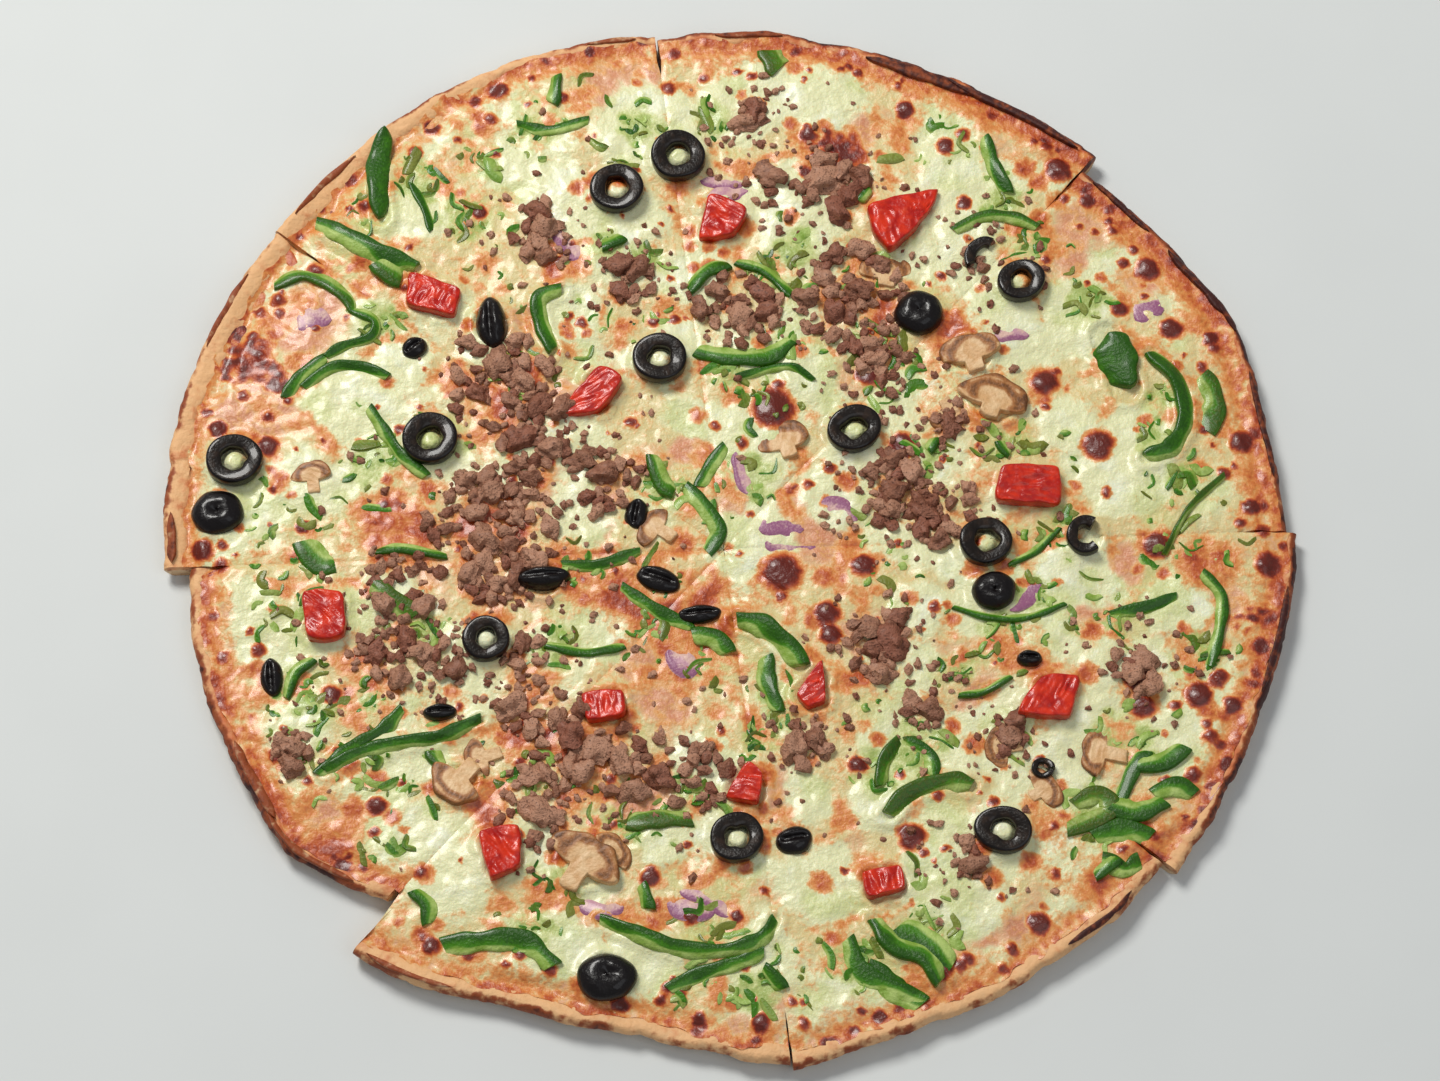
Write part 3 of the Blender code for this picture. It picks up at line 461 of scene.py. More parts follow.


# %% [markdown]
# ## Painting by rule
#
# The browning, the sauce that shows through and the green stains could be painted by hand, or mixed in
# the shader alone. Here one function works out the share of each at every point of the mesh, and the
# material reads them, so the colour of a blister lies exactly on its dome.
# The browning share also carries painted shade: a faint brown line along each cut, where the groove lies in
# shadow.

# %% The painter of the cheese
def painted(x, y, inward):
    """What oven and sauce did at each point, and painted cut shade: shares of browning, sauce, thick cheese,
    herbs.
    """
    wx = x + 2.8 * bumps(x, y, 8, 1) + 1.3 * bumps(x, y, 3, 2)
    wy = y + 2.8 * bumps(x, y, 8, 3) + 1.3 * bumps(x, y, 3, 4)
    cloudy, fine, streaky = bumps(x, y, 6, 5), bumps(x, y, 2.4, 6), bumps(x + 0.5 * y, 2 * y, 5, 7)
    band = rise(15, 4, inward + 5 * cloudy + 2 * fine)
    dark = np.interp(heading(x, y), *zip(*OVEN))
    thick = rise(1.05, 0.6, nearest(wx, wy, THICK)) + rise(-0.05, 0.4, bumps(wx, wy, 16, 8)) + 0.3 * fine
    thick = np.clip(thick, 0, 1) * (1 - 0.85 * band)
    thin = 1 - thick
    browning_and_cut_shade = thin * (0.09 + 0.21 * rise(-0.15, 0.55, cloudy + 0.4 * streaky))
    browning_and_cut_shade += (0.12 + 0.1 * thin) * rise(1.05, 0.5, nearest(wx, wy, TOASTED)) * (1 + 0.5 * fine)
    # painted shade: a faint brown line along each cut, where the groove in the cheese lies in shadow
    browning_and_cut_shade += 0.07 * np.exp(-((from_cut(x, y) / 0.8) ** 2)) * (1 + cloudy)
    ragged = nearest(wx + 3 * fine, wy + 3 * cloudy, CHARRED)
    browning_and_cut_shade = np.maximum(browning_and_cut_shade, rise(1.2, 0.5, ragged) * (0.62 + 0.45 * fine + 0.3 * streaky))
    browned = 0.30 + 0.10 * dark + 0.30 * cloudy + 0.26 * fine + 0.06 * streaky
    browning_and_cut_shade = np.maximum(browning_and_cut_shade, band * np.minimum(browned, 0.66))
    wobble_x, wobble_y = 0.9 * fine + 0.4 * bumps(x, y, 1.1, 10), 0.9 * cloudy + 0.4 * bumps(x, y, 1.1, 11)
    for places, depth in ((BLISTERS, 0.93), (SMALL_BLISTERS, 0.72), (TAN_SPOTS, 0.42 + 0.12 * fine)):
        burnt = nearest(x + wobble_x, y + wobble_y, places)
        browning_and_cut_shade = np.maximum(browning_and_cut_shade, depth * np.interp(burnt, (0, 0.6, 0.9, 1.1, 1.5), (1, 0.88, 0.68, 0.40, 0)))
    sauce = thin * rise(1.05, 0.55, nearest(wx, wy, SAUCY))
    sauce += 0.55 * thin * rise(0.05, 0.6, bumps(wx, wy, 9, 9))
    sauce = np.maximum(sauce, 0.8 * band * rise(-0.1, 0.4, fine - cloudy))
    herb = 0.7 * rise(1.2, 0.5, nearest(wx, wy, HERBED)) + 0.5 * rise(1.2, 0.6, nearest(x, y, HALOS))
    herb = np.maximum(herb, 0.5 * rise(0.0, 0.5, bumps(wx, wy, 12, 12)))
    thick = np.maximum(thick, 0.9 * rise(1.3, 1.0, nearest(x, y, HOLES)))
    herb = herb * (1 - np.clip(browning_and_cut_shade, 0, 1))
    return {"browning_and_cut_shade": browning_and_cut_shade, "sauce": np.clip(sauce, 0, 1), "thick": thick, "herb": herb}


for mark, share in painted(*np.array([[12.0], [35.0], [100.0]])).items():
    print("on the largest blister,", mark, "is", round(float(share[0]), 2))


# %% [markdown]
# ## The surface of the cheese
#
# One function gives the height of the melted cheese anywhere: a slow swell, as in the solids, finer
# waves on it, domes where it blistered, a small climb up each topping, a faint groove along each cut and
# a thin torn edge on the crust.

# %% The rim's outline
LIP = (  # distance in from the rim, height, and how much of the rim's own bump it takes
    (13.0, 4.0, 0.0), (8.0, 4.9, 0.3), (4.0, 6.4, 1.0), (1.2, 6.6, 1.0), (0.0, 4.4, 0.4), (1.4, 1.1, 0.0),
    (2.5, 0.0, 0.0),
)
LIP_STEPS = 5  # between two of those points
RIM_PROFILE = curve(LIP, LIP_STEPS * (len(LIP) - 1))
RIM_PROFILE[:, 0] = np.maximum(RIM_PROFILE[:, 0], 0)
RIM_PROFILE[:, 1] = np.maximum(RIM_PROFILE[:, 1], 0)
OUTERMOST = LIP_STEPS * 4  # the row of the profile that lies on the rim
TOP_SIDE = RIM_PROFILE[OUTERMOST::-1]
BASE = 4.0  # the dough under the cheese
CHEESE_FLOOR = 3.7  # a little below the top of the dough, so that no gap shows between the two
HOLLOW = 0.8  # how far the dough gives way under the cheese near the rim


def rim_bump(x, y):
    """The slow swell of the lip, as in the solids."""
    return 0.7 * (0.6 * np.sin(x / 7.0 + 1.0) + 0.4 * np.sin(y / 5.5 + x / 13.0))


def crust_top(x, y, inward):
    """The height of the dough at each point."""
    bump = rim_bump(x, y)
    height = np.interp(inward, TOP_SIDE[:, 0], TOP_SIDE[:, 1])
    return height + bump * np.interp(inward, TOP_SIDE[:, 0], TOP_SIDE[:, 2])


print("the rim's outline has", len(RIM_PROFILE), "points, up to", RIM_PROFILE[:, 1].max().round(2), "mm high")


# %% The height of the cheese
BARE = (  # angle, and how far in from the rim the dough is left bare there
    (2, 2.2), (70, 2.4), (110, 3.0), (125, 5.0), (150, 5.5), (182, 6.0), (184, 3.0), (228, 2.6),
    (229.5, 4.5),
    (262, 3.6), (320, 3.4), (340, 2.6), (362, 2.2),
)


def torn_edge(x, y):
    """How far in from the rim the cheese ends."""
    bare = np.interp(heading(x, y), *zip(*BARE))
    return bare + 0.5 * bare * bumps(x, y, 7, 11) + 0.7 * bumps(x, y, 2.5, 12)


def melted(x, y, inward=None):
    """The height of the melted surface at each point."""
    x, y = np.atleast_1d(x).astype(float), np.atleast_1d(y).astype(float)
    inward = from_rim(x, y) if inward is None else inward
    swell = 0.3 * np.sin(x / 9.5 + 1.3 * np.sin(y / 21)) + 0.22 * np.sin(y / 9.0 + x / 24 + 2.0)
    pool = 7.0 + swell + 0.50 * bumps(x, y, 8, 13) + 0.34 * bumps(x, y, 3.6, 14) + 0.14 * bumps(x, y, 1.7, 15)
    pool += 0.5 * rise(1.1, 0.6, nearest(x, y, THICK)) - 0.4 * rise(1.1, 0.5, nearest(x, y, SAUCY))
    pool -= 0.35 * np.exp(-((from_cut(x, y) / 0.7) ** 2))
    for px, py, radius in (*BLISTERS, *SMALL_BLISTERS):
        near = np.abs(x - px) + np.abs(y - py) < 2 * radius
        share = 1 - (np.hypot(x[near] - px, y[near] - py) / (1.15 * radius)) ** 2
        pool[near] += 0.36 * min(radius, 3.2) * np.clip(share, 0, 1)
    gap = clearance(x, y)
    pool += 0.95 * np.exp(-((gap / 1.5) ** 2)) * (gap > -1.2) + 2.6 * rise(1.0, 0.45, nearest(x, y, HOLES))
    edge = inward - torn_edge(x, y)
    over_lip = crust_top(x, y, inward) + 0.10 + 0.7 * rise(0, 4.5, edge) + 0.2 * bumps(x, y, 2.2, 16)
    return over_lip + (np.maximum(pool, over_lip) - over_lip) * rise(1.5, 7.0, edge)


print("cheese at the middle is", round(float(melted(0.0, 0.0)[0]), 2), "mm high")

# %% [markdown]
# ## Melted mozzarella
#
# Pizza cheese is a low-moisture mozzarella, grated and melted into one skin. It is creamy rather than
# white, slightly see-through, and wet with its own fat, so it has a soft, broken shine. Browning takes it
# through tan and orange to a dark red-brown, which is one ramp of colour driven by the browning share.
# The browning share also carries a painted shade: a faint brown line along each cut.

# %% The cheese's material
def mozzarella():
    fat = {"IOR": 1.46, "Coat_Weight": 0.35, "Coat_Roughness": 0.16, "Coat_IOR": 1.46}
    soft = {"Subsurface_Weight": 0.12, "Subsurface_Scale": 1.6 * MM, "Subsurface_Radius": (1.0, 0.7, 0.4)}
    material, tree, shader, clouds = begin("melted mozzarella", 0.42, (9, 4, 1.2), **fat, **soft)
    wide, cloudy, grainy = clouds
    colour = coat(tree, "#D8C78E", "#E1E0B0", [("thick", 1.0), (cloudy, 0.9)], 0.4, 1.05)
    colour = coat(tree, colour, "#EFF1D6", [("thick", 1.0), (wide, 1.0)], 1.42, 1.8)
    colour = coat(tree, colour, "#BFC974", [("herb", 1.0), (grainy, 0.6)], 0.35, 1.15, 0.75)
    colour = coat(tree, colour, "#86A03A", [("herb", 1.0), (grainy, 1.0)], 1.05, 1.6, 0.6)
    colour = coat(tree, colour, "#DE9A78", [("sauce", 1.0), (grainy, 0.7), (cloudy, 0.5)], 0.7, 1.4, 0.8)
    colour = coat(tree, colour, "#BC4A30", [("sauce", 1.0), (grainy, 1.2), (cloudy, 0.6)], 1.6, 2.1, 0.8)
    # the browning, with the painted shade along the cuts in it
    browning_with_cut_shade = weighed(tree, [("browning_and_cut_shade", 1.0), (grainy, 0.34), (cloudy, 0.2)])
    baked = [(0.25, "#E6D296"), (0.40, "#E4B475"), (0.54, "#D98844"), (0.68, "#BC5420"), (0.84, "#8C2A0C")]
    ramp = add(tree, "ShaderNodeValToRGB", inputs={0: browning_with_cut_shade}, stops=[*baked, (1.0, "#621706")]).outputs[0]
    colour = coat(tree, colour, ramp, [(browning_with_cut_shade, 1.0)], 0.32, 0.48)
    dress(tree, shader, colour, [(grainy, 1.0), (cloudy, 1.0)], 0.4)
    return material


MOZZARELLA = mozzarella()


# %% [markdown]
# ## Making a piece from points
#
# Every piece below ends as rows of points and triangles between them. One helper turns the points from
# millimetres into metres, stores the marks that the materials read, shades it smooth with sharp cuts, and
# lets it ride on the pizza in place of its solid.

# %% The piece maker
SHARP = math.radians(55)  # an edge that turns more than this is shaded sharp


def build(name, points, faces, material, marks=(), solids=()):
    """Makes a piece of the pizza, which takes the place of the named solids."""
    mesh = bpy.data.meshes.new(name)
    mesh.from_pydata((np.asarray(points) * MM).tolist(), [], np.asarray(faces).tolist())
    for label, values in dict(marks).items():
        layer = mesh.attributes.new(label, "FLOAT", "POINT")
        layer.data.foreach_set("value", np.asarray(values, dtype=np.float32))
    mesh.shade_smooth()
    mesh.set_sharp_from_angle(angle=SHARP)
    mesh.materials.append(material)
    piece = bpy.data.objects.new(name, mesh)
    bpy.context.scene.collection.objects.link(piece)
    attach(piece, "root")
    if solids:
        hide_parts(*solids)
    print(name, "has", len(faces), "triangles, top at", round(float(np.max(points, axis=0)[2]), 2), "mm")


def outward(points, faces):
    """The faces of a closed shape, turned so that they look out of it."""
    a, b, c = (points[faces[:, k]] for k in range(3))
    volume = np.einsum("ij,ij->i", a - points[0], np.cross(b - points[0], c - points[0])).sum()
    return faces[:, ::-1] if volume < 0 else faces


def loft(rows, ends="closed"):
    """Points and triangles of a skin over rings of points, with closed ends or with the ends joined."""
    count, size = rows.shape[:2]
    here = np.arange(size)
    ahead = (here + 1) % size
    faces = []
    for row in range(count if ends == "joined" else count - 1):
        low, high = row * size, (row + 1) % count * size
        faces.append(np.stack([low + here, low + ahead, high + ahead], axis=1))
        faces.append(np.stack([low + here, high + ahead, high + here], axis=1))
    points = rows.reshape(-1, 3)
    if ends == "closed":
        first, last = len(points), (count - 1) * size
        points = np.vstack([points, rows[0].mean(axis=0), rows[-1].mean(axis=0)])
        faces.append(np.stack([np.full(size, first), ahead, here], axis=1))
        faces.append(np.stack([np.full(size, first + 1), last + here, last + ahead], axis=1))
    faces = np.vstack(faces)
    return points, outward(points, faces)


class Pile:
    """Gathers many small shapes and their marks, to be made into one piece."""

    def __init__(self):
        self.points, self.faces, self.marks, self.count = [], [], {}, 0

    def put(self, points, faces, **marks):
        """Adds one shape, with a value or a value per point for each mark."""
        self.points.append(points)
        self.faces.append(faces + self.count)
        self.count += len(points)
        for label, value in marks.items():
            self.marks.setdefault(label, []).append(np.broadcast_to(value, len(points)))

    def build(self, name, material, slot):
        marks = {label: np.concatenate(values) for label, values in self.marks.items()}
        build(name, np.vstack(self.points), np.vstack(self.faces), material, marks)


# %% [markdown]
# ## The cheese, wedge by wedge
#
# A wedge of cheese is a fan of rows, from the tip out to the torn edge. Each row has as many points as
# its length asks for, so the triangles stay even, and neighbouring rows are zipped together. Melted
# cheese has run back together over most of each cut, so the cut sides meet there, and open near the rim.

# %% How far each cut is open
STEP = 0.7  # between the points of the cheese
CUT_OPENS = {1: 139, 2: 146, 3: 143, 4: 140, 5: 133, 6: 135, 7: 134, 8: 140}  # radius, at its second cut
CUT_WIDENS = {5: 0.5}  # half the angle that a cut is open by, which the cheese bridges


def cut_shift(cut, radius, x, y):
    """How far the cheese at a cut moves over it: it meets its neighbour inside, and draws back outside."""
    wander = radius + 6 * bumps(x, y, 9, 17)
    opens = CUT_OPENS[cut]
    closed = 0.42 + radius * math.radians(CUT_WIDENS.get(cut, 0.0))
    return closed - (closed + 0.15 + 0.3 * bumps(x, y, 3, 18)) * rise(opens - 6, opens + 6, wander)


print("the cuts open", min(CUT_OPENS.values()), "to", max(CUT_OPENS.values()), "mm from their crossing")


# %% Rows of a wedge
def wedge_row(number, part):
    """The points of one row and how far in from the rim they lie."""
    start, end, _ = SLICES[number]
    edge = np.mean(rim_reach(number, np.linspace(0, 1, 9))) - 3
    width = part * edge * math.radians(end - start)
    share = np.linspace(0, 1, max(1, round(width / STEP)) + 1)
    angle = start + (end - start) * share
    reach = rim_reach(number, share)
    tip = CROSSING + slid(number)
    ends_at = tip + polar(reach, angle)
    radius = part * (reach - INSIDE - np.maximum(torn_edge(ends_at[:, 0], ends_at[:, 1]), 0.6))
    place = tip + polar(radius, angle)
    for cut, cut_angle, turn in ((number - 1 or 8, start, -1), (number, end, 1)):
        away = radius * np.sin(np.radians(np.abs(angle - cut_angle)))
        shift = cut_shift(cut, radius, place[:, 0], place[:, 1]) * np.exp(-away / 1.2)
        place = place + polar(1.0, cut_angle + 90 * turn) * shift[:, None]
    return place, reach - radius


def zip_rows(inner, outer):
    """Triangles between two rows of point numbers, stepping along whichever is behind."""
    faces = []
    i = j = 0
    n, m = len(inner) - 1, len(outer) - 1
    while i < n or j < m:
        if j < m and (i == n or (j + 1) * n <= (i + 1) * m):
            faces.append((inner[i], outer[j], outer[j + 1]))
            j += 1
        else:
            faces.append((inner[i], outer[j], inner[i + 1]))
            i += 1
    return faces


# %% [markdown]
# ## From rows to a closed wedge
#
# Cheese could be draped over the dough as a cloth, but it has to keep its cuts and fill the space down
# to the dough. So the rows make the top skin, its outline is dropped as a wall, and a fan closes the
# bottom. The shares of browning, sauce, thick cheese and green go into the mesh with the points.

# %% The eight wedges of cheese
TIP_SLID = 0.2  # of the wedge's own slide, so that no hole shows where the eight tips meet
THINNEST = 0.12  # the cheese at its torn edge
TIP_INWARD = 150.0


def cheese_wedge(number):
    rows_needed = round(np.mean(rim_reach(number, np.linspace(0, 1, 9))) / STEP)
    tip = CROSSING + slid(number) * TIP_SLID
    places, inwards, rows, faces = [tip[None, :]], [np.array([TIP_INWARD])], [[0]], []
    for k in range(1, rows_needed + 1):
        place, inward = wedge_row(number, k / rows_needed)
        first = rows[-1][-1] + 1
        rows.append(list(range(first, first + len(place))))
        places.append(place)
        inwards.append(inward)
        faces += zip_rows(rows[-2], rows[-1])
    place, inward = np.vstack(places), np.concatenate(inwards)
    x, y = place[:, 0], place[:, 1]
    height = melted(x, y, inward)
    rim = [*(row[0] for row in rows), *rows[-1][1:-1], *(row[-1] for row in rows[:0:-1])]
    top = np.column_stack([place, height])
    floor = np.maximum(CHEESE_FLOOR, crust_top(x, y, inward) - HOLLOW)[rim]
    under = np.column_stack([place[rim], np.minimum(floor, height[rim] - THINNEST)])
    low = np.arange(len(rim)) + len(top)
    middle = len(top) + len(rim)
    for here, there in zip(range(len(rim)), [*range(1, len(rim)), 0]):
        faces.append((low[here], low[there], rim[there]))
        faces.append((low[here], rim[there], rim[here]))
        faces.append((middle, low[there], low[here]))
    centre = np.append(under[:, :2].mean(axis=0), CHEESE_FLOOR)
    points = np.vstack([top, under, centre])
    marks = painted(x, y, inward)
    marks = {label: np.concatenate([v, v[rim], v[:1]]) for label, v in marks.items()}
    solid = f"cheese_slice_{number}"
    build(f"cheese_cover_{number}", points, faces, MOZZARELLA, marks, solids=[solid])


for number in SLICES:
    cheese_wedge(number)

# %% [markdown]
# ## The baked crust
#
# Thin crust is a plain wheat dough, rolled out and baked until it is crisp. Its cut and its side are
# pale tan and dry, with brown freckles. Its upper edge has browned and even burnt in places, and the fat
# that ran over it left an orange-brown glaze.

# %% The crust's material
def baked_dough():
    material, tree, shader, clouds = begin("baked wheat dough", 0.62, (6, 2.2, 0.8), IOR=1.45)
    cloudy, freckles, crumb = clouds
    colour = coat(tree, "#CFA678", "#E2C49C", [(cloudy, 1.0)], 0.3, 0.7)
    colour = coat(tree, colour, "#A05F35", [(freckles, 1.0)], 0.56, 0.72, 0.8)
    colour = coat(tree, colour, "#E3B07C", [("glazed", 1.0), (freckles, 0.5)], 0.3, 0.9)
    colour = coat(tree, colour, "#C46A3A", [("glazed", 1.0), (cloudy, 1.2), (freckles, 0.6)], 1.5, 2.0)
    colour = coat(tree, colour, "#90431C", [("burnt", 1.0), (freckles, 0.9)], 0.62, 0.95)
    colour = coat(tree, colour, "#3C0D05", [("burnt", 1.0), (freckles, 0.9)], 0.98, 1.3)
    dress(tree, shader, colour, [(freckles, 1.0), (crumb, 0.4)], 0.4)
    return material


DOUGH = baked_dough()

# %% [markdown]
# ## The crust, wedge by wedge
#
# The crust could be bevelled out of a flat wedge, but its lip has an outline of its own. So that outline
# is swept along the rim of each wedge, torn and roughened by noise, and closed by fans of triangles from
# the wedge's tip, above and below and along both cuts.

# %% The eight wedges of crust
CRUST_COLUMNS = 190  # along the rim of a wedge


def crust_wedge(number):
    start, end, _ = SLICES[number]
    share = np.linspace(0, 1, CRUST_COLUMNS + 1)
    angle = start + (end - start) * share
    reach = rim_reach(number, share) - INSIDE
    tip = CROSSING + slid(number)
    rx, ry = (tip + polar(reach, angle)).T
    torn = np.maximum(0, 1.1 * bumps(rx, ry, 6, 21)) + 0.5 * np.maximum(0, bumps(rx, ry, 1.8, 22))
    dark = np.interp(angle, *zip(*OVEN))
    rows, glazed, burnt = [], [], []
    for step, (inward, height, bump) in enumerate(RIM_PROFILE):
        lying_in = inward + torn * (1 if inward < 6 else 0)
        x, y = (tip + polar(reach - lying_in, angle)).T
        rough = 0.30 * bumps(x, y, 4.5, 23) + 0.16 * bumps(x, y, 1.6, 24)
        z = height + bump * rim_bump(x, y) + rough * rise(0.2, 3.0, height) * rise(13, 9, inward)
        if step <= OUTERMOST:
            z -= HOLLOW * rise(0.3, 1.8, inward - torn_edge(x, y)) * rise(13, 9, inward)
        rows.append(np.column_stack([x, y, np.maximum(z, 0)]))
        on_top = step <= OUTERMOST
        edge = rise(2.6, 0.8, inward) if on_top else rise(1.4, 4.0, height)
        burnt.append(edge * (0.7 * dark + 0.5 * bumps(x, y, 9, 25)) + 0.15 * bumps(x, y, 4, 26))
        glazed.append(rise(14, 9, inward) * (0.35 + 0.65 * dark) if on_top else 0 * x)
    rows = np.array(rows)
    points = rows.reshape(-1, 3)
    size = CRUST_COLUMNS + 1
    here = np.arange(CRUST_COLUMNS)
    faces = []
    for row in range(len(rows) - 1):
        low, high = row * size, (row + 1) * size
        faces.append(np.stack([low + here, high + here, high + here + 1], axis=1))
        faces.append(np.stack([low + here, high + here + 1, low + here + 1], axis=1))
    top_tip, under_tip = len(points), len(points) + 1
    last = (len(rows) - 1) * size
    faces.append(np.stack([np.full(CRUST_COLUMNS, top_tip), here, here + 1], axis=1))
    faces.append(np.stack([np.full(CRUST_COLUMNS, under_tip), last + here + 1, last + here], axis=1))
    for column, order in ((0, (0, 2, 1)), (CRUST_COLUMNS, (0, 1, 2))):
        outline = [top_tip, *(row * size + column for row in range(len(rows)))]
        fan = np.array([(under_tip, a, b) for a, b in zip(outline, outline[1:])])
        faces.append(fan[:, order])
    points = np.vstack([points, (*tip, BASE), (*tip, 0.0)])
    marks = {"glazed": glazed, "burnt": burnt}
    marks = {label: np.append(np.concatenate(values), (0, 0)) for label, values in marks.items()}
    solid = f"crust_slice_{number}"
    build(f"crust_rim_{number}", points, np.vstack(faces), DOUGH, marks, solids=[solid])


for number in SLICES:
    crust_wedge(number)


# %% [markdown]
# ## Ribbons
#
# Pepper strips, onion slivers and flakes of crust are all ribbons: a section like a rounded box, swept
# along a path, with one side higher than the other and cut ends. A ribbon follows the rise and fall of
# the cheese below it, half sunk, and every point knows how far it lies across the ribbon.

# %% The ribbon maker
SUNK = 0.7  # how deep the toppings sit in the cheese
TOP_LIMIT = SOLIDS_BOX[1].z / MM - 0.05
print("no topping may reach higher than", round(TOP_LIMIT, 2), "mm, so that the pizza keeps its size")


def boxy(angle, power):
    """A cosine whose ends are squared off, for sections between a circle and a box."""
    return np.sign(np.cos(angle)) * np.abs(np.cos(angle)) ** power


def ribbon(path, width, height, seed, side=1.0, sunk=SUNK, spacing=0.8, sides=14, taper=0.3, skew=0.4):
    """Points, faces, and how skin-like each point is: 1 on the higher side and 0 at the cut wall."""
    known = np.array(path, dtype=float)
    steps = max(5, round(np.linalg.norm(np.diff(known, axis=0), axis=1).sum() / spacing))
    route = curve(known, steps)
    ahead = np.gradient(route, axis=0)
    ahead /= np.maximum(np.linalg.norm(ahead, axis=1), 1e-6)[:, None]
    across = np.column_stack([ahead[:, 1], -ahead[:, 0]])
    far = np.arange(steps + 1) * spacing
    uneven, twist = bumps(far, 0 * far + seed * 3.3, 5, 30), bumps(far, 0 * far + seed * 5.1, 10, 31)
    along = np.linspace(-1, 1, steps + 1)
    wide = width * (1 - taper * np.abs(along) ** 5) * (1 + 0.35 * uneven)
    ground = melted(route[:, 0], route[:, 1])
    ground = np.convolve(np.pad(ground, 3, mode="edge"), np.ones(7) / 7, mode="valid")
    section = np.linspace(0, math.tau, sides, endpoint=False)
    offset, level = boxy(section, 0.6) / 2, (boxy(section - math.pi / 2, 0.5) + 1) / 2
    spread = offset[None, :] * wide[:, None]
    place = route[:, None, :] + across[:, None, :] * spread[:, :, None]
    place = place + ahead[:, None, :] * (skew * side * spread * along[:, None] ** 5)[:, :, None]
    lean = side * offset[None, :] * (0.7 + 0.9 * twist[:, None])
    arch = 0.12 * (1 - (2 * offset[None, :]) ** 2) - 0.12 * np.abs(along[:, None]) ** 4
    full = np.clip(0.70 + 0.6 * lean + arch, 0.25, 1)
    z = ground[:, None] - sunk + (height + sunk) * level[None, :] * full
    rows = np.concatenate([place, np.minimum(z, TOP_LIMIT)[:, :, None]], axis=2)
    points, faces = loft(rows)
    skin = rise(-0.75, 0.1, 2 * side * offset[None, :] + 0.9 * twist[:, None])
    skin = skin * (0.35 + 0.65 * level[None, :])
    return points, faces, np.append(np.broadcast_to(skin, rows.shape[:2]).reshape(-1), (0.1, 0.1))


# %% [markdown]
# ## Flakes at the rim
#
# Where the dough was torn or has bubbled, thin flakes of it stand up along the rim. They could be pushed
# out of the crust itself, but a thin ribbon laid along the rim keeps a sharp edge with few triangles,
# and lies exactly where a real flake does.

# %% Flakes that broke up from the crust
FLAKES = (  # first and last angle, how far in they lie, width and height
    (75, 63, 1.6, 3.4, 1.6), (66, 50.5, 1.2, 2.6, 2.0), (36, 27, 0.9, 2.6, 1.8), (29, 24.5, 0.3, 1.8, 2.2),
    (20, 8, 0.9, 1.8, 1.2), (47, 39, 1.0, 2.0, 1.4), (356, 344, 0.9, 1.8, 1.2), (181.5, 176, 1.2, 2.4, 1.6),
    (203, 213, 1.6, 2.4, 1.6), (212, 224, 0.9, 2.0, 1.4), (91, 84, 0.9, 2.0, 1.2), (104, 99, 0.8, 1.8, 1.2),
    (131, 140, 1.0, 1.8, 1.2), (148, 157, 0.8, 1.8, 1.0), (230.5, 240, 1.0, 1.6, 1.0),
    (318, 309, 0.8, 1.6, 1.0),
)
flakes = Pile()
for number, (first, last, inset, width, height) in enumerate(FLAKES, 1):
    path = []
    for degrees in np.linspace(first, last, 5):
        wedge = next(n for n, (start, end, _) in SLICES.items() if start <= degrees <= end)
        start, end, _ = SLICES[wedge]
        reach = rim_reach(wedge, (degrees - start) / (end - start)) - inset - width / 2
        path.append(CROSSING + slid(wedge) + polar(reach, degrees))
    points, faces, _ = ribbon(path, width, height, number + 7, sunk=0.8, taper=0.9, skew=0.1)
    flakes.put(points, faces, burnt=np.interp(path[0][0], (-150, -60, 60), (0.55, 0.4, 0.8)), glazed=0.2)
flakes.build("crust_flakes", DOUGH, "crust")

# %% [markdown]
# ## Black olives
#
# The olives are pitted ones, sliced across: a ring has a wet, almost black skin outside, dark brown flesh
# on its two cut faces and a hole where the stone was. An end slice is a cap with a dimple. A ring is made
# by sweeping a boxy section round the hole, so its cut edges stay crisp and its skin stays round.

# %% The olive's material
def olive_flesh():
    dark = {"IOR": 1.4, "Specular_IOR_Level": 0.3}
    wet = {"Coat_Weight": 0.55, "Coat_Roughness": 0.1, "Coat_IOR": 1.35}
    material, tree, shader, clouds = begin("brined black olive", 0.35, (2.5, 0.7), **dark, **wet)
    cloudy, fine = clouds
    colour = coat(tree, "#150D08", "#33241A", [(cloudy, 1.0)], 0.45, 0.8)
    colour = coat(tree, colour, "#0C0607", [("skin", 1.0), (fine, 0.3)], 0.35, 0.8)
    dress(tree, shader, colour, [(fine, 1.0), (cloudy, 0.6)], 0.2)
    return material


OLIVE = olive_flesh()


# %% Olive shapes
def turned(x, y, degrees):
    """The point turned about the origin."""
    c, s = math.cos(math.radians(degrees)), math.sin(math.radians(degrees))
    return x * c - y * s, x * s + y * c


def seated(x, y, reach):
    """The middling height of the cheese under something this wide."""
    spots = np.array([(x, y), (x + reach, y), (x - reach, y), (x, y + reach), (x, y - reach)], dtype=float)
    return float(np.median(melted(spots[:, 0], spots[:, 1])))


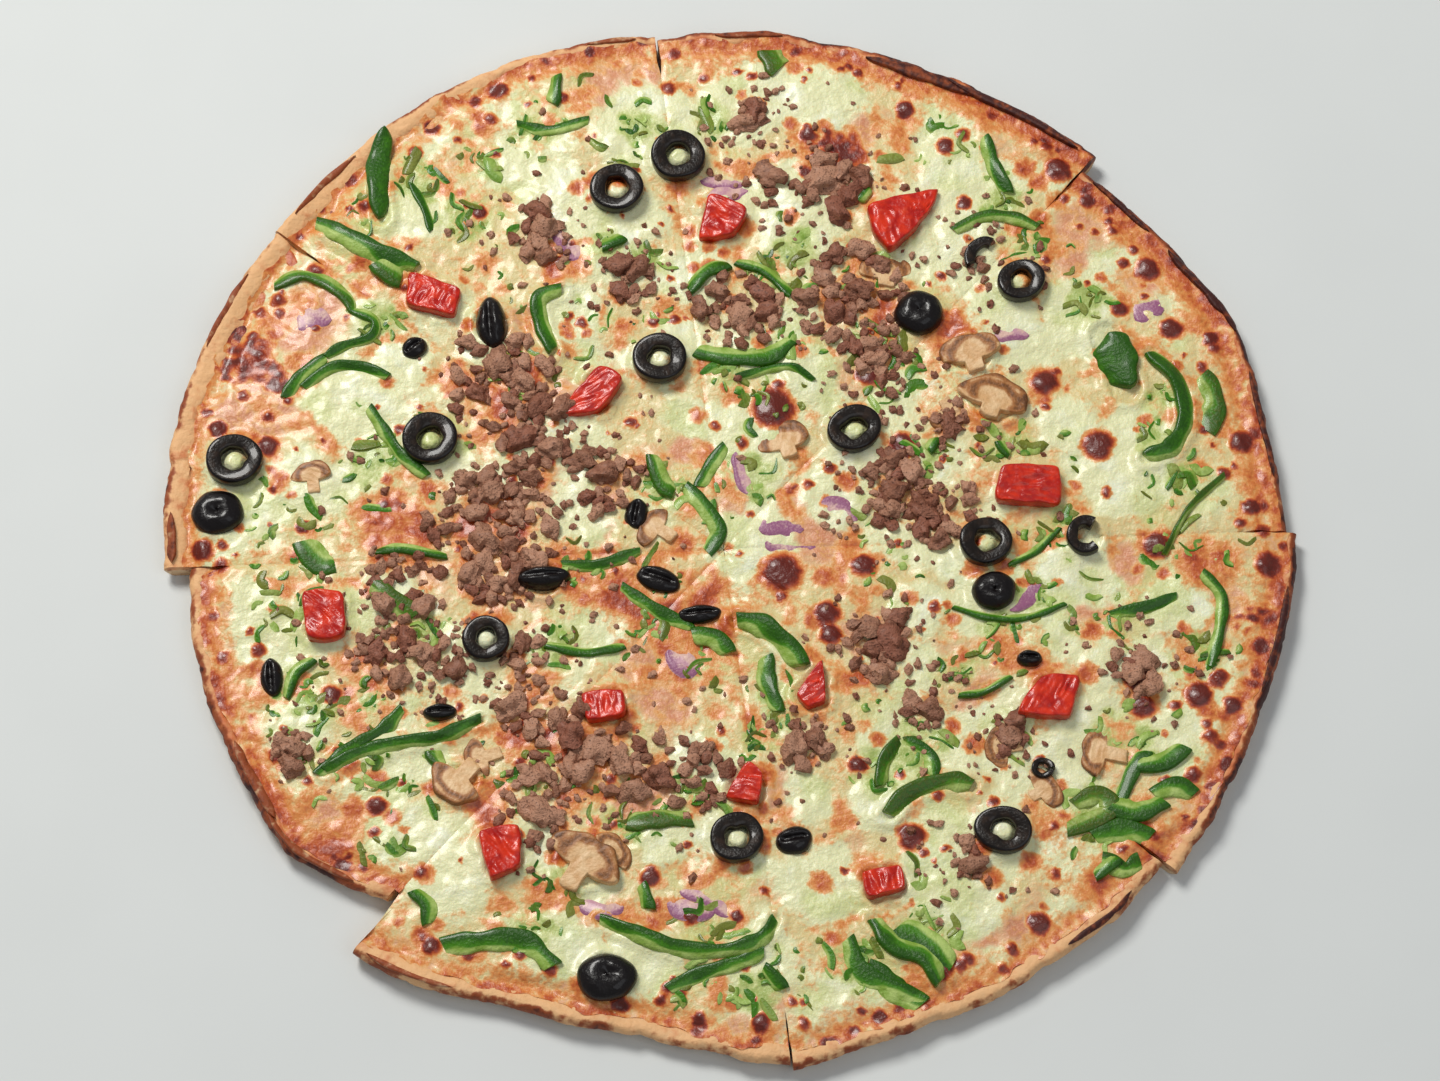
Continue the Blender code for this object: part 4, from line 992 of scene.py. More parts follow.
def olive_ring(x, y, long, wide, turn, height, seed, sweep=360.0):
    """A ring, or a broken one where the sweep is under a full turn."""
    full = sweep == 360.0
    around = np.linspace(0, math.radians(sweep), 48, endpoint=not full)
    section = np.linspace(0, math.tau, 22, endpoint=False)
    uneven = 1 + 0.06 * bumps(np.cos(around), np.sin(around), 1, seed * 0.4)
    inner = 1 + 0.30 * bumps(np.cos(around), np.sin(around), 0.8, seed * 0.7)
    side, level = boxy(section, 0.6), boxy(section - math.pi / 2, 0.4)
    share = (side + 1) / 2
    radius = OLIVE_HOLE * long * inner[:, None] * (1 - share) + long * uneven[:, None] * share
    dx, dy = turned(radius * np.cos(around)[:, None], radius * np.sin(around)[:, None] * wide / long, turn)
    tilt = 0.06 * math.sin(seed * 2.3), 0.06 * math.cos(seed * 3.7)
    sag = 0.3 * np.cos(2 * around + seed)[:, None]
    z = seated(x, y, long) - SUNK + (level + 1) / 2 * (height + SUNK) * (0.86 + 0.1 * share) + sag
    rows = np.stack([x + dx, y + dy, np.minimum(z + dx * tilt[0] + dy * tilt[1], TOP_LIMIT)], axis=2)
    skin = np.broadcast_to(rise(0.5, 0.9, side), rows.shape[:2]).reshape(-1)
    points, faces = loft(rows, "joined" if full else "closed")
    return points, faces, {"skin": skin if full else np.append(skin, (0.2, 0.2))}


def olive_dome(x, y, long, wide, turn, height, seed, dimple):
    """The end of an olive, or a ring that lies on its side when it is long and narrow."""
    around = np.linspace(0, math.tau, 48, endpoint=False)
    shares = np.append(np.linspace(0.02, 0.5, 7), 0.5 + 0.5 * np.sin(np.linspace(0.15, math.pi / 2, 10)))
    uneven = 1 + 0.09 * bumps(np.cos(around), np.sin(around), 0.8, seed * 0.4)
    ground = seated(x, y, long) - SUNK
    rows = []
    for share in shares[::-1]:
        level = max(0.0, 1 - share**2.4) ** 0.5
        dx, dy = turned(share * long * np.cos(around) * uneven, share * wide * np.sin(around) * uneven, turn)
        z = ground + 0.25 * height + level * 0.75 * (height + SUNK)
        groove = np.exp(-(((share * np.sin(around) - 0.15) / 0.22) ** 2)) * rise(0.9, 0.5, share)
        dent = 0.8 * math.exp(-((share / 0.3) ** 2)) * (1 + 0.5 * np.cos(around + seed))
        z = z - 1.3 * (dent if dimple else groove) + 0.35 * bumps(x + dx, y + dy, 2.5, seed)
        rows.append(np.column_stack([x + dx, y + dy, np.minimum(z, TOP_LIMIT)]))
    foot = rows[0].copy()
    foot[:, 2] = ground
    foot[:, :2] = (x, y) + (foot[:, :2] - (x, y)) * 0.9
    points, faces = loft(np.array([foot, *rows]))
    return points, faces, {"skin": np.ones(len(points))}


# %% The eighteen olive slices
OLIVE_SWEEP = {"ring": 360.0, "arc": 250.0}  # the broken ring has lost the rest of its turn
for number, (kind, x, y, long, wide, turn) in enumerate(OLIVES, 1):
    height = OLIVE_HEIGHT[kind]
    if kind in OLIVE_SWEEP:
        points, faces, marks = olive_ring(x, y, long, wide, turn, height, number, OLIVE_SWEEP[kind])
    else:
        points, faces, marks = olive_dome(x, y, long, wide, turn, height, number, kind == "cap")
    build(f"olive_slice_{number:02d}", points, faces, OLIVE, marks, solids=[f"olive_{number:02d}"])

# %% [markdown]
# ## Scraps of olive
#
# Beside the whole slices lie small ends, shavings and broken rings. They are the same two shapes, only
# smaller and lower. One mesh holds them all, because nothing tells one scrap from the next.

# %% Scraps of olive
SCRAP_HEIGHT = 2.6
SCRAP_DOMES = (  # x, y, half length, half width, turn
    (-86, 53, 3.6, 3.2, 40), (-25, 4, 4.4, 3.2, 80), (-19, -15, 6.2, 3.6, -20), (-8, -25, 6.0, 2.8, 5),
    (17, -89, 5.0, 3.8, 10), (-122, -43, 5.4, 3.0, 95), (-77, -53, 4.6, 2.4, 5), (80, -38, 3.4, 2.4, 0),
)
SCRAP_RINGS = ((70, 80, 5.8, 60, 150.0), (83, -69, 3.2, 0, 340.0))  # x, y, half length, turn and sweep
scraps = Pile()
for number, (x, y, long, wide, turn) in enumerate(SCRAP_DOMES, 1):
    points, faces, marks = olive_dome(x, y, long, wide, turn, SCRAP_HEIGHT, number + 60, False)
    scraps.put(points, faces, **marks)
for number, (x, y, long, turn, sweep) in enumerate(SCRAP_RINGS, 1):
    points, faces, marks = olive_ring(x, y, long, long * 0.9, turn, SCRAP_HEIGHT, number + 80, sweep)
    scraps.put(points, faces, **marks)
scraps.build("olive_scraps", OLIVE, "olive")

# %% [markdown]
# ## Roasted tomato
#
# Ripe tomato, diced before baking. The heat wrinkles its skin and leaves it wet, so it takes small, sharp
# highlights. A piece is an outline with rounded corners, pulled up into a slab, whose skin is creased
# along one direction by narrow ridges: the noise is folded at 0, which makes its zero lines sharp.
# The crests of those ridges are painted a lighter orange-red, a painted highlight along each of them.

# %% The tomato's material
def tomato_flesh():
    wet = {"IOR": 1.42, "Coat_Weight": 0.5, "Coat_Roughness": 0.12, "Coat_IOR": 1.35}
    material, tree, shader, (cloudy, fine) = begin("roasted ripe tomato", 0.36, (3.5, 0.9), **wet)
    colour = coat(tree, "#B01004", "#DA300A", [(cloudy, 1.0)], 0.35, 0.7)
    # painted highlight: a lighter orange-red along the crests of the skin's ridges
    colour = coat(tree, colour, "#E05434", [("ridge_highlight", 1.0), (fine, 0.5)], 1.1, 1.55, 0.6)
    dress(tree, shader, colour, [(fine, 1.0)], 0.2)
    return material


TOMATO = tomato_flesh()

# %% Slabs with rounded edges
OVER_EDGE = (  # share of the outline, and level
    (0.90, 0.0), (0.965, 0.12), (0.995, 0.35), (1.0, 0.58), (0.99, 0.78), (0.965, 0.91), (0.93, 0.98),
)
SLAB = (*OVER_EDGE, *((share, 1.0) for share in np.linspace(0.87, 0.05, 15)))
CORNER_CUTS = (0.12, 0.25, 0.25, 0.25)  # share of each side that is cut off at both ends, again and again


def rounded(corners, layer):
    """A closed outline whose corners are cut until they are round, a little uneven."""
    outline = np.array(corners, dtype=float)
    for cut in CORNER_CUTS:
        ahead = np.roll(outline, -1, axis=0)
        near, far = outline + (ahead - outline) * cut, outline + (ahead - outline) * (1 - cut)
        outline = np.stack([near, far], axis=1).reshape(-1, 2)
    middle = outline.mean(axis=0)
    uneven = 0.98 + 0.09 * bumps(outline[:, 0], outline[:, 1], 4, layer)
    return middle + (outline - middle) * uneven[:, None]


def slab(outline, middle, height, creases, layer):
    """A slab with this outline, and how far up a ridge each point is: tomato's painted highlight."""
    ground = seated(*middle, 4.0) - SUNK
    slope = 0.10 * math.sin(layer * 2.1), 0.10 * math.cos(layer * 1.3)
    rows, ridge_highlights = [], []
    for share, level in SLAB:
        x, y = (middle + (outline - middle) * share).T
        u, v = turned(x, y, 37 * layer)
        fold = 1 - 2.2 * np.abs(bumps(u / 3.5, v, 1.5, layer)) + 0.5 * bumps(u, v, 3, layer + 0.5)
        tilt = (x - middle[0]) * slope[0] + (y - middle[1]) * slope[1]
        z = ground + level * (height + SUNK - 0.5 + tilt + creases * (fold - 0.6) * rise(1.0, 0.9, share))
        rows.append(np.column_stack([x, y, np.minimum(z, TOP_LIMIT)]))
        ridge_highlights.append(fold * level)
    points, faces = loft(np.array(rows))
    return points, faces, np.append(np.concatenate(ridge_highlights), (0, 0))


# %% The twelve pieces of tomato
TOMATO_CREASES = 0.42  # how high they stand
for number, (corners, height) in enumerate(TOMATOES, 1):
    outline = rounded(corners, number)
    points, faces, ridge_highlights = slab(outline, outline.mean(axis=0), height, TOMATO_CREASES, number)
    marks = {"ridge_highlight": ridge_highlights}
    solid = f"tomato_{number:02d}"
    build(f"tomato_piece_{number:02d}", points, faces, TOMATO, marks, solids=[solid])

# %% [markdown]
# ## Green pepper
#
# Bell pepper in strips: one side is the dark, glossy skin, the other the pale, juicy wall. Each strip is
# a ribbon that carries a mark for its skin and another for how far it has baked, from fresh green to
# olive.

# %% The pepper's material
def pepper_wall():
    juicy = {"IOR": 1.42, "Specular_IOR_Level": 0.35}
    wet = {"Coat_Weight": 0.35, "Coat_Roughness": 0.12, "Coat_IOR": 1.35}
    material, tree, shader, clouds = begin("baked green pepper", 0.4, (3.5, 0.8), **juicy, **wet)
    cloudy, fine = clouds
    colour = coat(tree, "#7FA03A", "#B3C873", [(cloudy, 1.0)], 0.3, 0.7)
    colour = coat(tree, colour, "#3F7A08", [("skin", 1.0), (cloudy, 0.5)], 0.45, 0.8)
    colour = coat(tree, colour, "#225003", [("skin", 1.0), (fine, 0.5), (cloudy, 0.5)], 1.05, 1.55)
    colour = coat(tree, colour, "#6E6A1E", [("baked", 1.0), (fine, 0.5)], 0.7, 1.2, 0.8)
    dress(tree, shader, colour, [(fine, 1.0), (cloudy, 0.8)], 0.3)
    return material


PEPPER = pepper_wall()

# %% The ten larger strips
SKIN_UP = (1, 6)  # these two lie with their skin up, and come to a point
MOST_BAKED = 10
for number, (width, height, path) in enumerate(PEPPERS, 1):
    up = number in SKIN_UP
    side = 1.0 if number % 2 else -1.0
    points, faces, skin = ribbon(path, width, height, number, side, sides=18, taper=0.75 if up else 0.35)
    skin = np.maximum(skin, 0.85) if up else skin
    marks = {"skin": skin, "baked": np.full(len(points), 0.6 if number == MOST_BAKED else 0.1)}
    solid = f"pepper_{number:02d}"
    build(f"pepper_strip_{number:02d}", points, faces, PEPPER, marks, solids=[solid])

# %% [markdown]
# ## Thinner strips
#
# Most of the pepper was cut thinner. A width and a few places along the middle say all there is to know
# of a strip, so one loop makes them, and draws how high each stands and how far it has baked.

# %% The thinner strips
THIN_PEPPERS = (  # width and points along the middle
    (6.5, ((-97, 78), (-90, 73))), (3.8, ((-125, 72), (-118, 75), (-111, 73), (-105, 68), (-103, 64))),
    (2.7, ((-103, 64), (-97, 61), (-98, 56), (-106, 53), (-110, 50))),
    (3.8, ((-110, 50), (-117, 44), (-121, 38))),
    (3.2, ((-116, 41), (-108, 47), (-100, 47), (-93, 44))), (4.3, ((-11, 70), (-6, 76), (0, 78))),
    (3.2, ((2, 79), (10, 76), (17, 69))), (5.4, ((-9, 52), (0, 50), (10, 50), (17, 55))),
    (4.9, ((-21, 21), (-18, 13), (-15, 10))), (4.9, ((-12, 12), (-7, 6), (-3, -1), (-6, -7))),
    (4.3, ((-1, 24), (-5, 18), (-8, 12))), (5.4, ((-10, -31), (-4, -32), (0, -36))),
    (4.9, ((10, -37), (10, -44), (13, -53))), (3.8, ((-87, -52), (-92, -58), (-101, -64), (-109, -71))),
    (3.5, ((-98, 35), (-93, 27), (-88, 20), (-82, 15))), (6.5, ((129, 45), (132, 37), (130, 28))),
    (4.1, ((71, 117), (73, 109), (77, 100))), (3.5, ((62, 88), (70, 92), (78, 92), (85, 89))),
    (5.4, ((-27, -84), (-19, -83), (-10, -83))), (4.3, ((-16, -130), (-8, -126), (2, -123), (9, -120))),
    (5.9, ((-75, -118), (-65, -117), (-54, -117), (-46, -124))),
    (4.6, ((-83, -103), (-79, -107), (-79, -112))),
    (5.4, ((31, -116), (34, -125), (44, -130), (51, -133))),
    (5.4, ((91, -79), (98, -76), (100, -81), (89, -86))),
    (5.9, ((101, -79), (108, -81), (115, -78))), (5.4, ((108, -68), (115, -67), (121, -63))),
    (4.3, ((103, -78), (107, -69), (111, -64))), (3.8, ((45, -61), (41, -67), (40, -74))),
    (3.8, ((47, -61), (53, -65), (54, -72))), (3.5, ((127, -13), (132, -20), (131, -30), (128, -40))),
    (3.8, ((-48, 136), (-49, 127))), (3.2, ((-59, 121), (-50, 119), (-39, 122))),
    (8.1, ((11, 144), (14, 138))),
    (2.2, ((60, -23), (70, -26), (80, -26), (90, -22))), (7.6, ((-115, -4), (-110, -10), (-106, -11))),
    (5.9, ((-96, -17), (-90, -22), (-84, -26))), (3.2, ((-118, -49), (-116, -42), (-111, -38))),
    (4.3, ((-79, -64), (-76, -69))), (3.8, ((96, -99), (102, -94))), (3.8, ((9, -124), (14, -130))),
    (1.9, ((117, -8), (124, 5), (134, 15))), (2.2, ((89, 0), (82, -7), (75, -11))),
    (2.7, ((-76, -8), (-88, -6), (-95, -7))), (4.3, ((-29, 86), (-35, 83))),
    (3.2, ((-45, -11), (-35, -11), (-24, -7))),
    (3.8, ((-29, -17), (-21, -23), (-10, -29))), (2.7, ((-49, -34), (-38, -36), (-28, -34))),
    (3.2, ((36, 97), (39, 101))), (3.0, ((73, 25), (76, 21))), (3.0, ((56, 26), (54, 22))),
    (3.8, ((-23, -101), (-21, -108))), (3.2, ((120, -20), (112, -23), (102, -25))),
    (2.7, ((-88, 103), (-84, 95), (-82, 88))), (2.2, ((2, 44), (16, 47), (23, 43))),
    (2.4, ((75, -43), (68, -47), (61, -48))), (6.8, ((44, -113), (52, -117), (58, -124))),
    (7.2, ((36, -124), (43, -130), (50, -134))), (6.0, ((96, -88), (104, -86), (111, -88))),
    (5.5, ((112, -76), (118, -74), (123, -76))), (5.0, ((98, -94), (104, -97), (108, -94))),
)
thin = Pile()
for number, (width, path) in enumerate(THIN_PEPPERS, 1):
    side = 1.0 if DRAW.random() < 0.5 else -1.0
    points, faces, skin = ribbon(path, width, DRAW.uniform(1.0, 2.2), number + 40, side)
    thin.put(points, faces, skin=skin, baked=DRAW.uniform(0.0, 0.65))
thin.build("thin_pepper_strips", PEPPER, "pepper")

# %% [markdown]
# ## Chopped pepper and herbs
#
# Some nine hundred green bits of 1 to 8 mm lie all over the cheese. As objects of their own they would
# be slow to handle, so they are gathered in one mesh at their true size, each a tiny ribbon with its own
# bend, turn and shade of green.

# %% Chopped pepper and herbs
chopped = Pile()
for x, y, half, toward, bend, width in GREEN_BITS:
    path = []
    for end in (-1, 0, 1):
        angle = toward + end * bend
        path.append((x + end * half * math.cos(angle), y + end * half * math.sin(angle)))
    points, faces, skin = ribbon(path, width, DRAW.uniform(0.1, 0.8), x + y, sunk=0.5, sides=8)
    chopped.put(points, faces, skin=skin * DRAW.uniform(0.1, 1.0), baked=DRAW.uniform(0.1, 1.0))
chopped.build("chopped_pepper", PEPPER, "pepper")

# %% [markdown]
# ## Mushroom
#
# Button mushrooms sliced from top to foot, so a slice shows the arch of its cap, the dark gills below it
# and the pale stem. Baked, they are soft and tan. The outline is worked out direction by direction: the
# further of the cap's arch and the stem's sides.

# %% The mushroom's material
def mushroom_flesh():
    dull = {"IOR": 1.4, "Coat_Weight": 0.15, "Coat_Roughness": 0.3}
    material, tree, shader, (cloudy, fine) = begin("baked button mushroom", 0.48, (3.0, 0.8), **dull)
    colour = coat(tree, "#CFA06C", "#E2BE90", [(cloudy, 1.0)], 0.3, 0.7)
    colour = coat(tree, colour, "#A56B3A", [("gill", 1.0), (cloudy, 0.8), (fine, 0.4)], 0.7, 1.2)
    colour = coat(tree, colour, "#5F3A1E", [("gill", 1.0), (fine, 0.6)], 0.85, 1.4)
    dress(tree, shader, colour, [(fine, 1.0), (cloudy, 1.0)], 0.3)
    return material


MUSHROOM = mushroom_flesh()


# %% Mushroom slices
CAP_RISE, CAP_UNDER, STALK_HALF = 0.72, 0.3, 0.28  # shares of the cap's half length
MUSHROOM_CREASES = 0.12


def mushroom_outline(cap, stem, layer):
    """The cut-through shape, with its cap upward and the place where cap and stem meet at its middle."""
    angle = np.linspace(0, math.tau, 80, endpoint=False)
    c, s = np.cos(angle), np.sin(angle)
    arch = 1 / np.sqrt((c / cap) ** 2 + (s / np.where(s > 0, CAP_RISE * cap, CAP_UNDER * cap)) ** 2)
    stalk = np.minimum(STALK_HALF * cap / np.maximum(np.abs(c), 1e-3), stem / np.maximum(np.abs(s), 1e-3))
    radius = np.where(s < 0, np.maximum(arch, stalk), arch) * (1 + 0.22 * bumps(c, s, 0.7, layer))
    bent = radius * c + 0.06 * (radius * s) ** 2 / cap * math.sin(layer * 2)
    return np.column_stack([bent, radius * s])


def mushroom_slice(x, y, cap, stem, turn, height, layer):
    """A slice as a slab, and how dark with gills or skin each of its points is."""
    outline = mushroom_outline(cap, stem, layer)
    dx, dy = turned(outline[:, 0], outline[:, 1], turn)
    placed = np.column_stack([x + dx, y + dy])
    points, faces, _ = slab(placed, np.array([x, y]), height, MUSHROOM_CREASES, layer)
    u, v = turned(points[:, 0] - x, points[:, 1] - y, -turn)
    out = np.hypot(u / cap, v / (CAP_RISE * cap))
    arcs = 0.5 + 0.5 * np.cos(9 * out + 1.5 * bumps(u, v, 3, layer))
    gill = 0.9 * arcs * rise(0.25, 0.6, out) * rise(-0.35, -0.1, v / cap)
    gill += 0.8 * rise(0.84, 1.0, out) * (v > 0)
    return points, faces, np.clip(gill, 0, 1)


for number, (x, y, cap, stem, turn) in enumerate(MUSHROOMS, 1):
    points, faces, gill = mushroom_slice(x, y, cap, stem, turn, MUSHROOM_HEIGHT, number)
    marks = {"gill": gill}
    solid = f"mushroom_{number:02d}"
    build(f"mushroom_slice_{number:02d}", points, faces, MUSHROOM, marks, solids=[solid])

# %% [markdown]
# ## Smaller mushroom slices
#
# The ends of the mushrooms give smaller slices, which lie lower in the cheese. They have the same
# outline, with another stretch of noise for each, and share one mesh.

# %% Smaller mushroom slices
SMALL_HEIGHT = 1.3
SMALL_MUSHROOMS = (  # x, y, half length of the cap, stem, turn
    (-20, 0, 6.5, 6, 60), (15, 25, 8, 5, 20), (-31, -92, 6, 9, -50), (72, -63, 6, 6, 100),
    (-113, 15, 5.5, 5, 10),
    (43, 76, 7.5, 4, 0), (98, -64, 7, 8, 80), (83, -75, 6, 4, -60), (60, 33, 6, 5, 200),
    (-66, -66, 6, 6, 110),
)
small = Pile()
for number, (x, y, cap, stem, turn) in enumerate(SMALL_MUSHROOMS, 1):
    points, faces, gill = mushroom_slice(x, y, cap, stem, turn, SMALL_HEIGHT, number + 20)
    small.put(points, faces, gill=gill)
small.build("small_mushroom_slices", MUSHROOM, "mushroom")

# %% [markdown]
# ## Crumbled beef
#
# Minced beef, fried loose and scattered in heaps: rough, dry-looking lumps of 2 to 8 mm with gaps
# between them, and crumbs of 1 to 2 mm round them. Each lump is a ball whose points noise has pushed in
# and out, with its own tone, and a new one is only kept where it leaves the others room.

# %% The beef's material
def minced_beef():
    dry = {"IOR": 1.4, "Coat_Weight": 0.1, "Coat_Roughness": 0.35}
    material, tree, shader, (cloudy, fine) = begin("fried minced beef", 0.6, (2.0, 0.6), **dry)
    colour = coat(tree, "#74412B", "#B8876C", [("tone", 1.0), (cloudy, 0.9)], 0.4, 1.4)
    colour = coat(tree, colour, "#A86A55", [("tone", -1.0), (cloudy, 0.8)], -0.1, 0.5, 0.5)
    colour = coat(tree, colour, "#43200F", [(fine, 1.0)], 0.54, 0.70, 0.75)
    dress(tree, shader, colour, [(fine, 1.0), (cloudy, 0.7)], 0.6)
    return material


BEEF = minced_beef()


# %% Lumps
def unit_ball(detail):
    """The points and triangles of a round ball, which gets finer as the detail goes up."""
    ball = bmesh.new()
    bmesh.ops.create_icosphere(ball, subdivisions=detail, radius=1.0)
    points = np.array([v.co[:] for v in ball.verts])
    faces = np.array([[v.index for v in face.verts] for face in ball.faces])
    ball.free()
    return points, faces


BALLS = {detail: unit_ball(detail) for detail in (1, 2, 3)}
print("the balls have", [len(faces) for _, faces in BALLS.values()], "triangles")


def lump(x, y, z, radius, detail, seed):
    """A rough lump: a ball stretched, turned and pushed about by noise."""
    points, faces = BALLS[detail]
    shove = [noise.noise(Vector(p) * 1.15 + Vector((seed, 0, 0))) for p in points]
    crags = [noise.noise(Vector(p) * 2.8 + Vector((0, seed, 0))) for p in points]
    shape = points * (1 + 0.7 * np.array(shove) + 0.3 * np.array(crags))[:, None]
    dx, dy = turned(shape[:, 0] * 1.2, shape[:, 1] * 0.9, seed * 77)
    return np.column_stack([x + dx * radius, y + dy * radius, z + shape[:, 2] * radius * 0.75]), faces


# %% [markdown]
# ## Heaps of beef
#
# The heaps have places of their own, and so have the largest lumps. The rest are drawn round the middle
# of each heap and tried from the largest to the smallest, which packs them the way that a shaken heap
# packs: the crumbs end up in the gaps.

# %% Where the lumps and crumbs lie
HEAPS = (  # x, y, how far the heap spreads, and its number of lumps in the solids
    (-62, 43, 12, 7), (-53, 28, 8, 4), (-64, 0, 14, 8), (-61, -13, 8, 3), (-87, -17, 8, 3), (3, 65, 9, 4),
    (33, 68, 12, 7), (28, 101, 8, 3), (-34, 14, 8, 3), (46, 9, 9, 4), (59, 3, 8, 3), (-37, -64, 11, 5),
    (-13, -72, 10, 4), (-51, -81, 8, 3), (41, -34, 8, 4), (-53, -49, 7, 2), (-52, 88, 7, 2),
    (-26, 73, 5, 2),
    (6, 124, 3, 1), (11, 104, 3, 1), (-54, -37, 4, 1), (-92, -37, 6, 2), (-77, -38, 4, 1), (20, -61, 5, 2),
    (74, -60, 4, 1), (51, -50, 4, 1), (70, 80, 4, 1), (-116, -63, 4, 2), (42, 47, 6, 2), (61, 32, 5, 1),
    (108, -41, 5, 2), (-60, 12, 7, 3), (46, 18, 5, 2), (62, -95, 4, 1),
)
LARGE_LUMPS = (  # x, y and radius
    (27, 103, 4.2), (33, 99, 3.4), (44, -33, 4.2), (-51, 89, 3.6), (-26, 76, 3.2), (11, 104, 3.2),
    (7, 125, 2.8),
    (-36, -64, 4.2), (-51, -81, 4.2), (-19, -71, 3.6), (74, -60, 3.0), (-117, -63, 3.4), (64, -96, 3.0),
    (17, -63, 3.4), (-63, 49, 3.6), (-56, 26, 3.6), (36, 70, 3.4), (29, 64, 3.2), (52, 6, 3.6),
    (-34, 16, 3.2),
    (-66, -3, 3.4), (-58, -52, 3.4), (5, 64, 3.0), (-42, -60, 3.4), (108, -42, 3.0), (44, 12, 3.0),
)
TRIES_PER = 11  # lumps tried here for each one in the solids
CRUMBS = 1300
HEAP_EDGE = 1.3  # how much further out than its spread a heap has lumps
SMALLER = 0.86  # the share of small lumps
APART = 0.66  # the least distance between two lumps, as a share of their radii together
tried = list(LARGE_LUMPS)
for px, py, spread, count in HEAPS:
    for _ in range(count * TRIES_PER):
        out = spread * HEAP_EDGE * math.sqrt(DRAW.random())
        x, y = polar(out, DRAW.uniform(0, 360)) + (px, py)
        tried.append((x, y, DRAW.uniform(0.9, 2.0) if DRAW.random() < SMALLER else DRAW.uniform(2.0, 3.3)))
for _ in range(CRUMBS):
    px, py, spread, _ = DRAW.choice(HEAPS)
    tried.append((px + DRAW.gauss(0, spread + 5), py + DRAW.gauss(0, spread + 5), DRAW.uniform(0.4, 1.2)))
tried.sort(key=lambda spot: -spot[2])
spots = np.empty((0, 3))
for x, y, size in tried:
    apart = np.hypot(spots[:, 0] - x, spots[:, 1] - y) / (spots[:, 2] + size)
    if (apart > APART).all() and clearance(x, y) > -0.3 * size and from_rim(x, y)[0] > TOPPED:
        spots = np.vstack([spots, (x, y, size)])
print(len(spots), "lumps and crumbs of beef")

# %% The beef
beef = Pile()
grounds = melted(spots[:, 0], spots[:, 1])
for number, ((x, y, size), ground) in enumerate(zip(spots, grounds)):
    z = min(ground + 0.25 * size, TOP_LIMIT - 1.2 * size)
    detail = 3 if size > 2.0 else 2 if size > 0.9 else 1
    points, faces = lump(x, y, z, size, detail, number * 1.37)
    beef.put(points, faces, tone=DRAW.random())
beef.build("beef_crumbles", BEEF, "beef")

# %% [markdown]
# ## Onion
#
# Red onion in thin slivers, soft and almost clear after baking, with a purple edge. They are low ribbons,
# nearly level with the cheese.

# %% Onion slivers
def cooked_onion():
    clear = {"IOR": 1.38, "Coat_Weight": 0.2, "Coat_Roughness": 0.2}
    material, tree, shader, (cloudy, fine) = begin("baked red onion", 0.38, (2.5, 0.7), **clear)
    colour = coat(tree, "#D9B4A6", "#C292A0", [(cloudy, 1.0)], 0.35, 0.65)
    colour = coat(tree, colour, "#93597A", [("edge", 1.0), (fine, 0.8)], 0.9, 1.4)
    dress(tree, shader, colour, [(fine, 1.0)], 0.2)
    return material


ONION = cooked_onion()
ONIONS = (
    ((-16, -106), (-10, -109), (-4, -108)), ((-13, -103), (-6, -105), (0, -110)),
    ((-40, -106), (-33, -109), (-28, -107)),
    ((2, 22), (3, 16), (5, 10)), ((72, 55), (77, 57), (82, 57)), ((-8, 104), (-2, 103), (4, 103)),
    ((-6, 99), (0, 99), (5, 101)), ((-48, 88), (-44, 84), (-41, 80)), ((-16, -35), (-13, -39), (-8, -40)),
    ((10, -4), (16, -6), (23, -5)), ((8, 0), (14, 1), (20, 0)), ((111, 62), (115, 65), (119, 65)),
    ((-118, 59), (-114, 62), (-109, 62)), ((34, 2), (30, 6), (25, 7)), ((75, -24), (80, -20), (83, -16)),
)
onions = Pile()
for number, path in enumerate(ONIONS, 1):
    width = DRAW.uniform(3.6, 6.8)
    points, faces, edge = ribbon(path, width, 0.3, number + 130, sunk=0.5, sides=10, taper=0.8)
    onions.put(points, faces, edge=edge)
onions.build("onion_slivers", ONION, "onion")

# %% [markdown]
# ## The set
#
# The floor is plain and pale, and so is the light: one large soft lamp above and behind, as from a
# window, a weaker one in front, and a bright, even sky. A long lens from well above, as the pizza was
# seen, keeps its round outline nearly round.

# %% Floor
def pale_floor():
    material, tree, shader, (wide,) = begin("matt pale floor", 0.85, (60,), Specular_IOR_Level=0.2)
    colour = coat(tree, "#D4D7D6", "#D6D9D8", [(wide, 1.0)], 0.3, 0.7)
    tree.links.new(colour, shader.inputs["Base Color"])
    return material


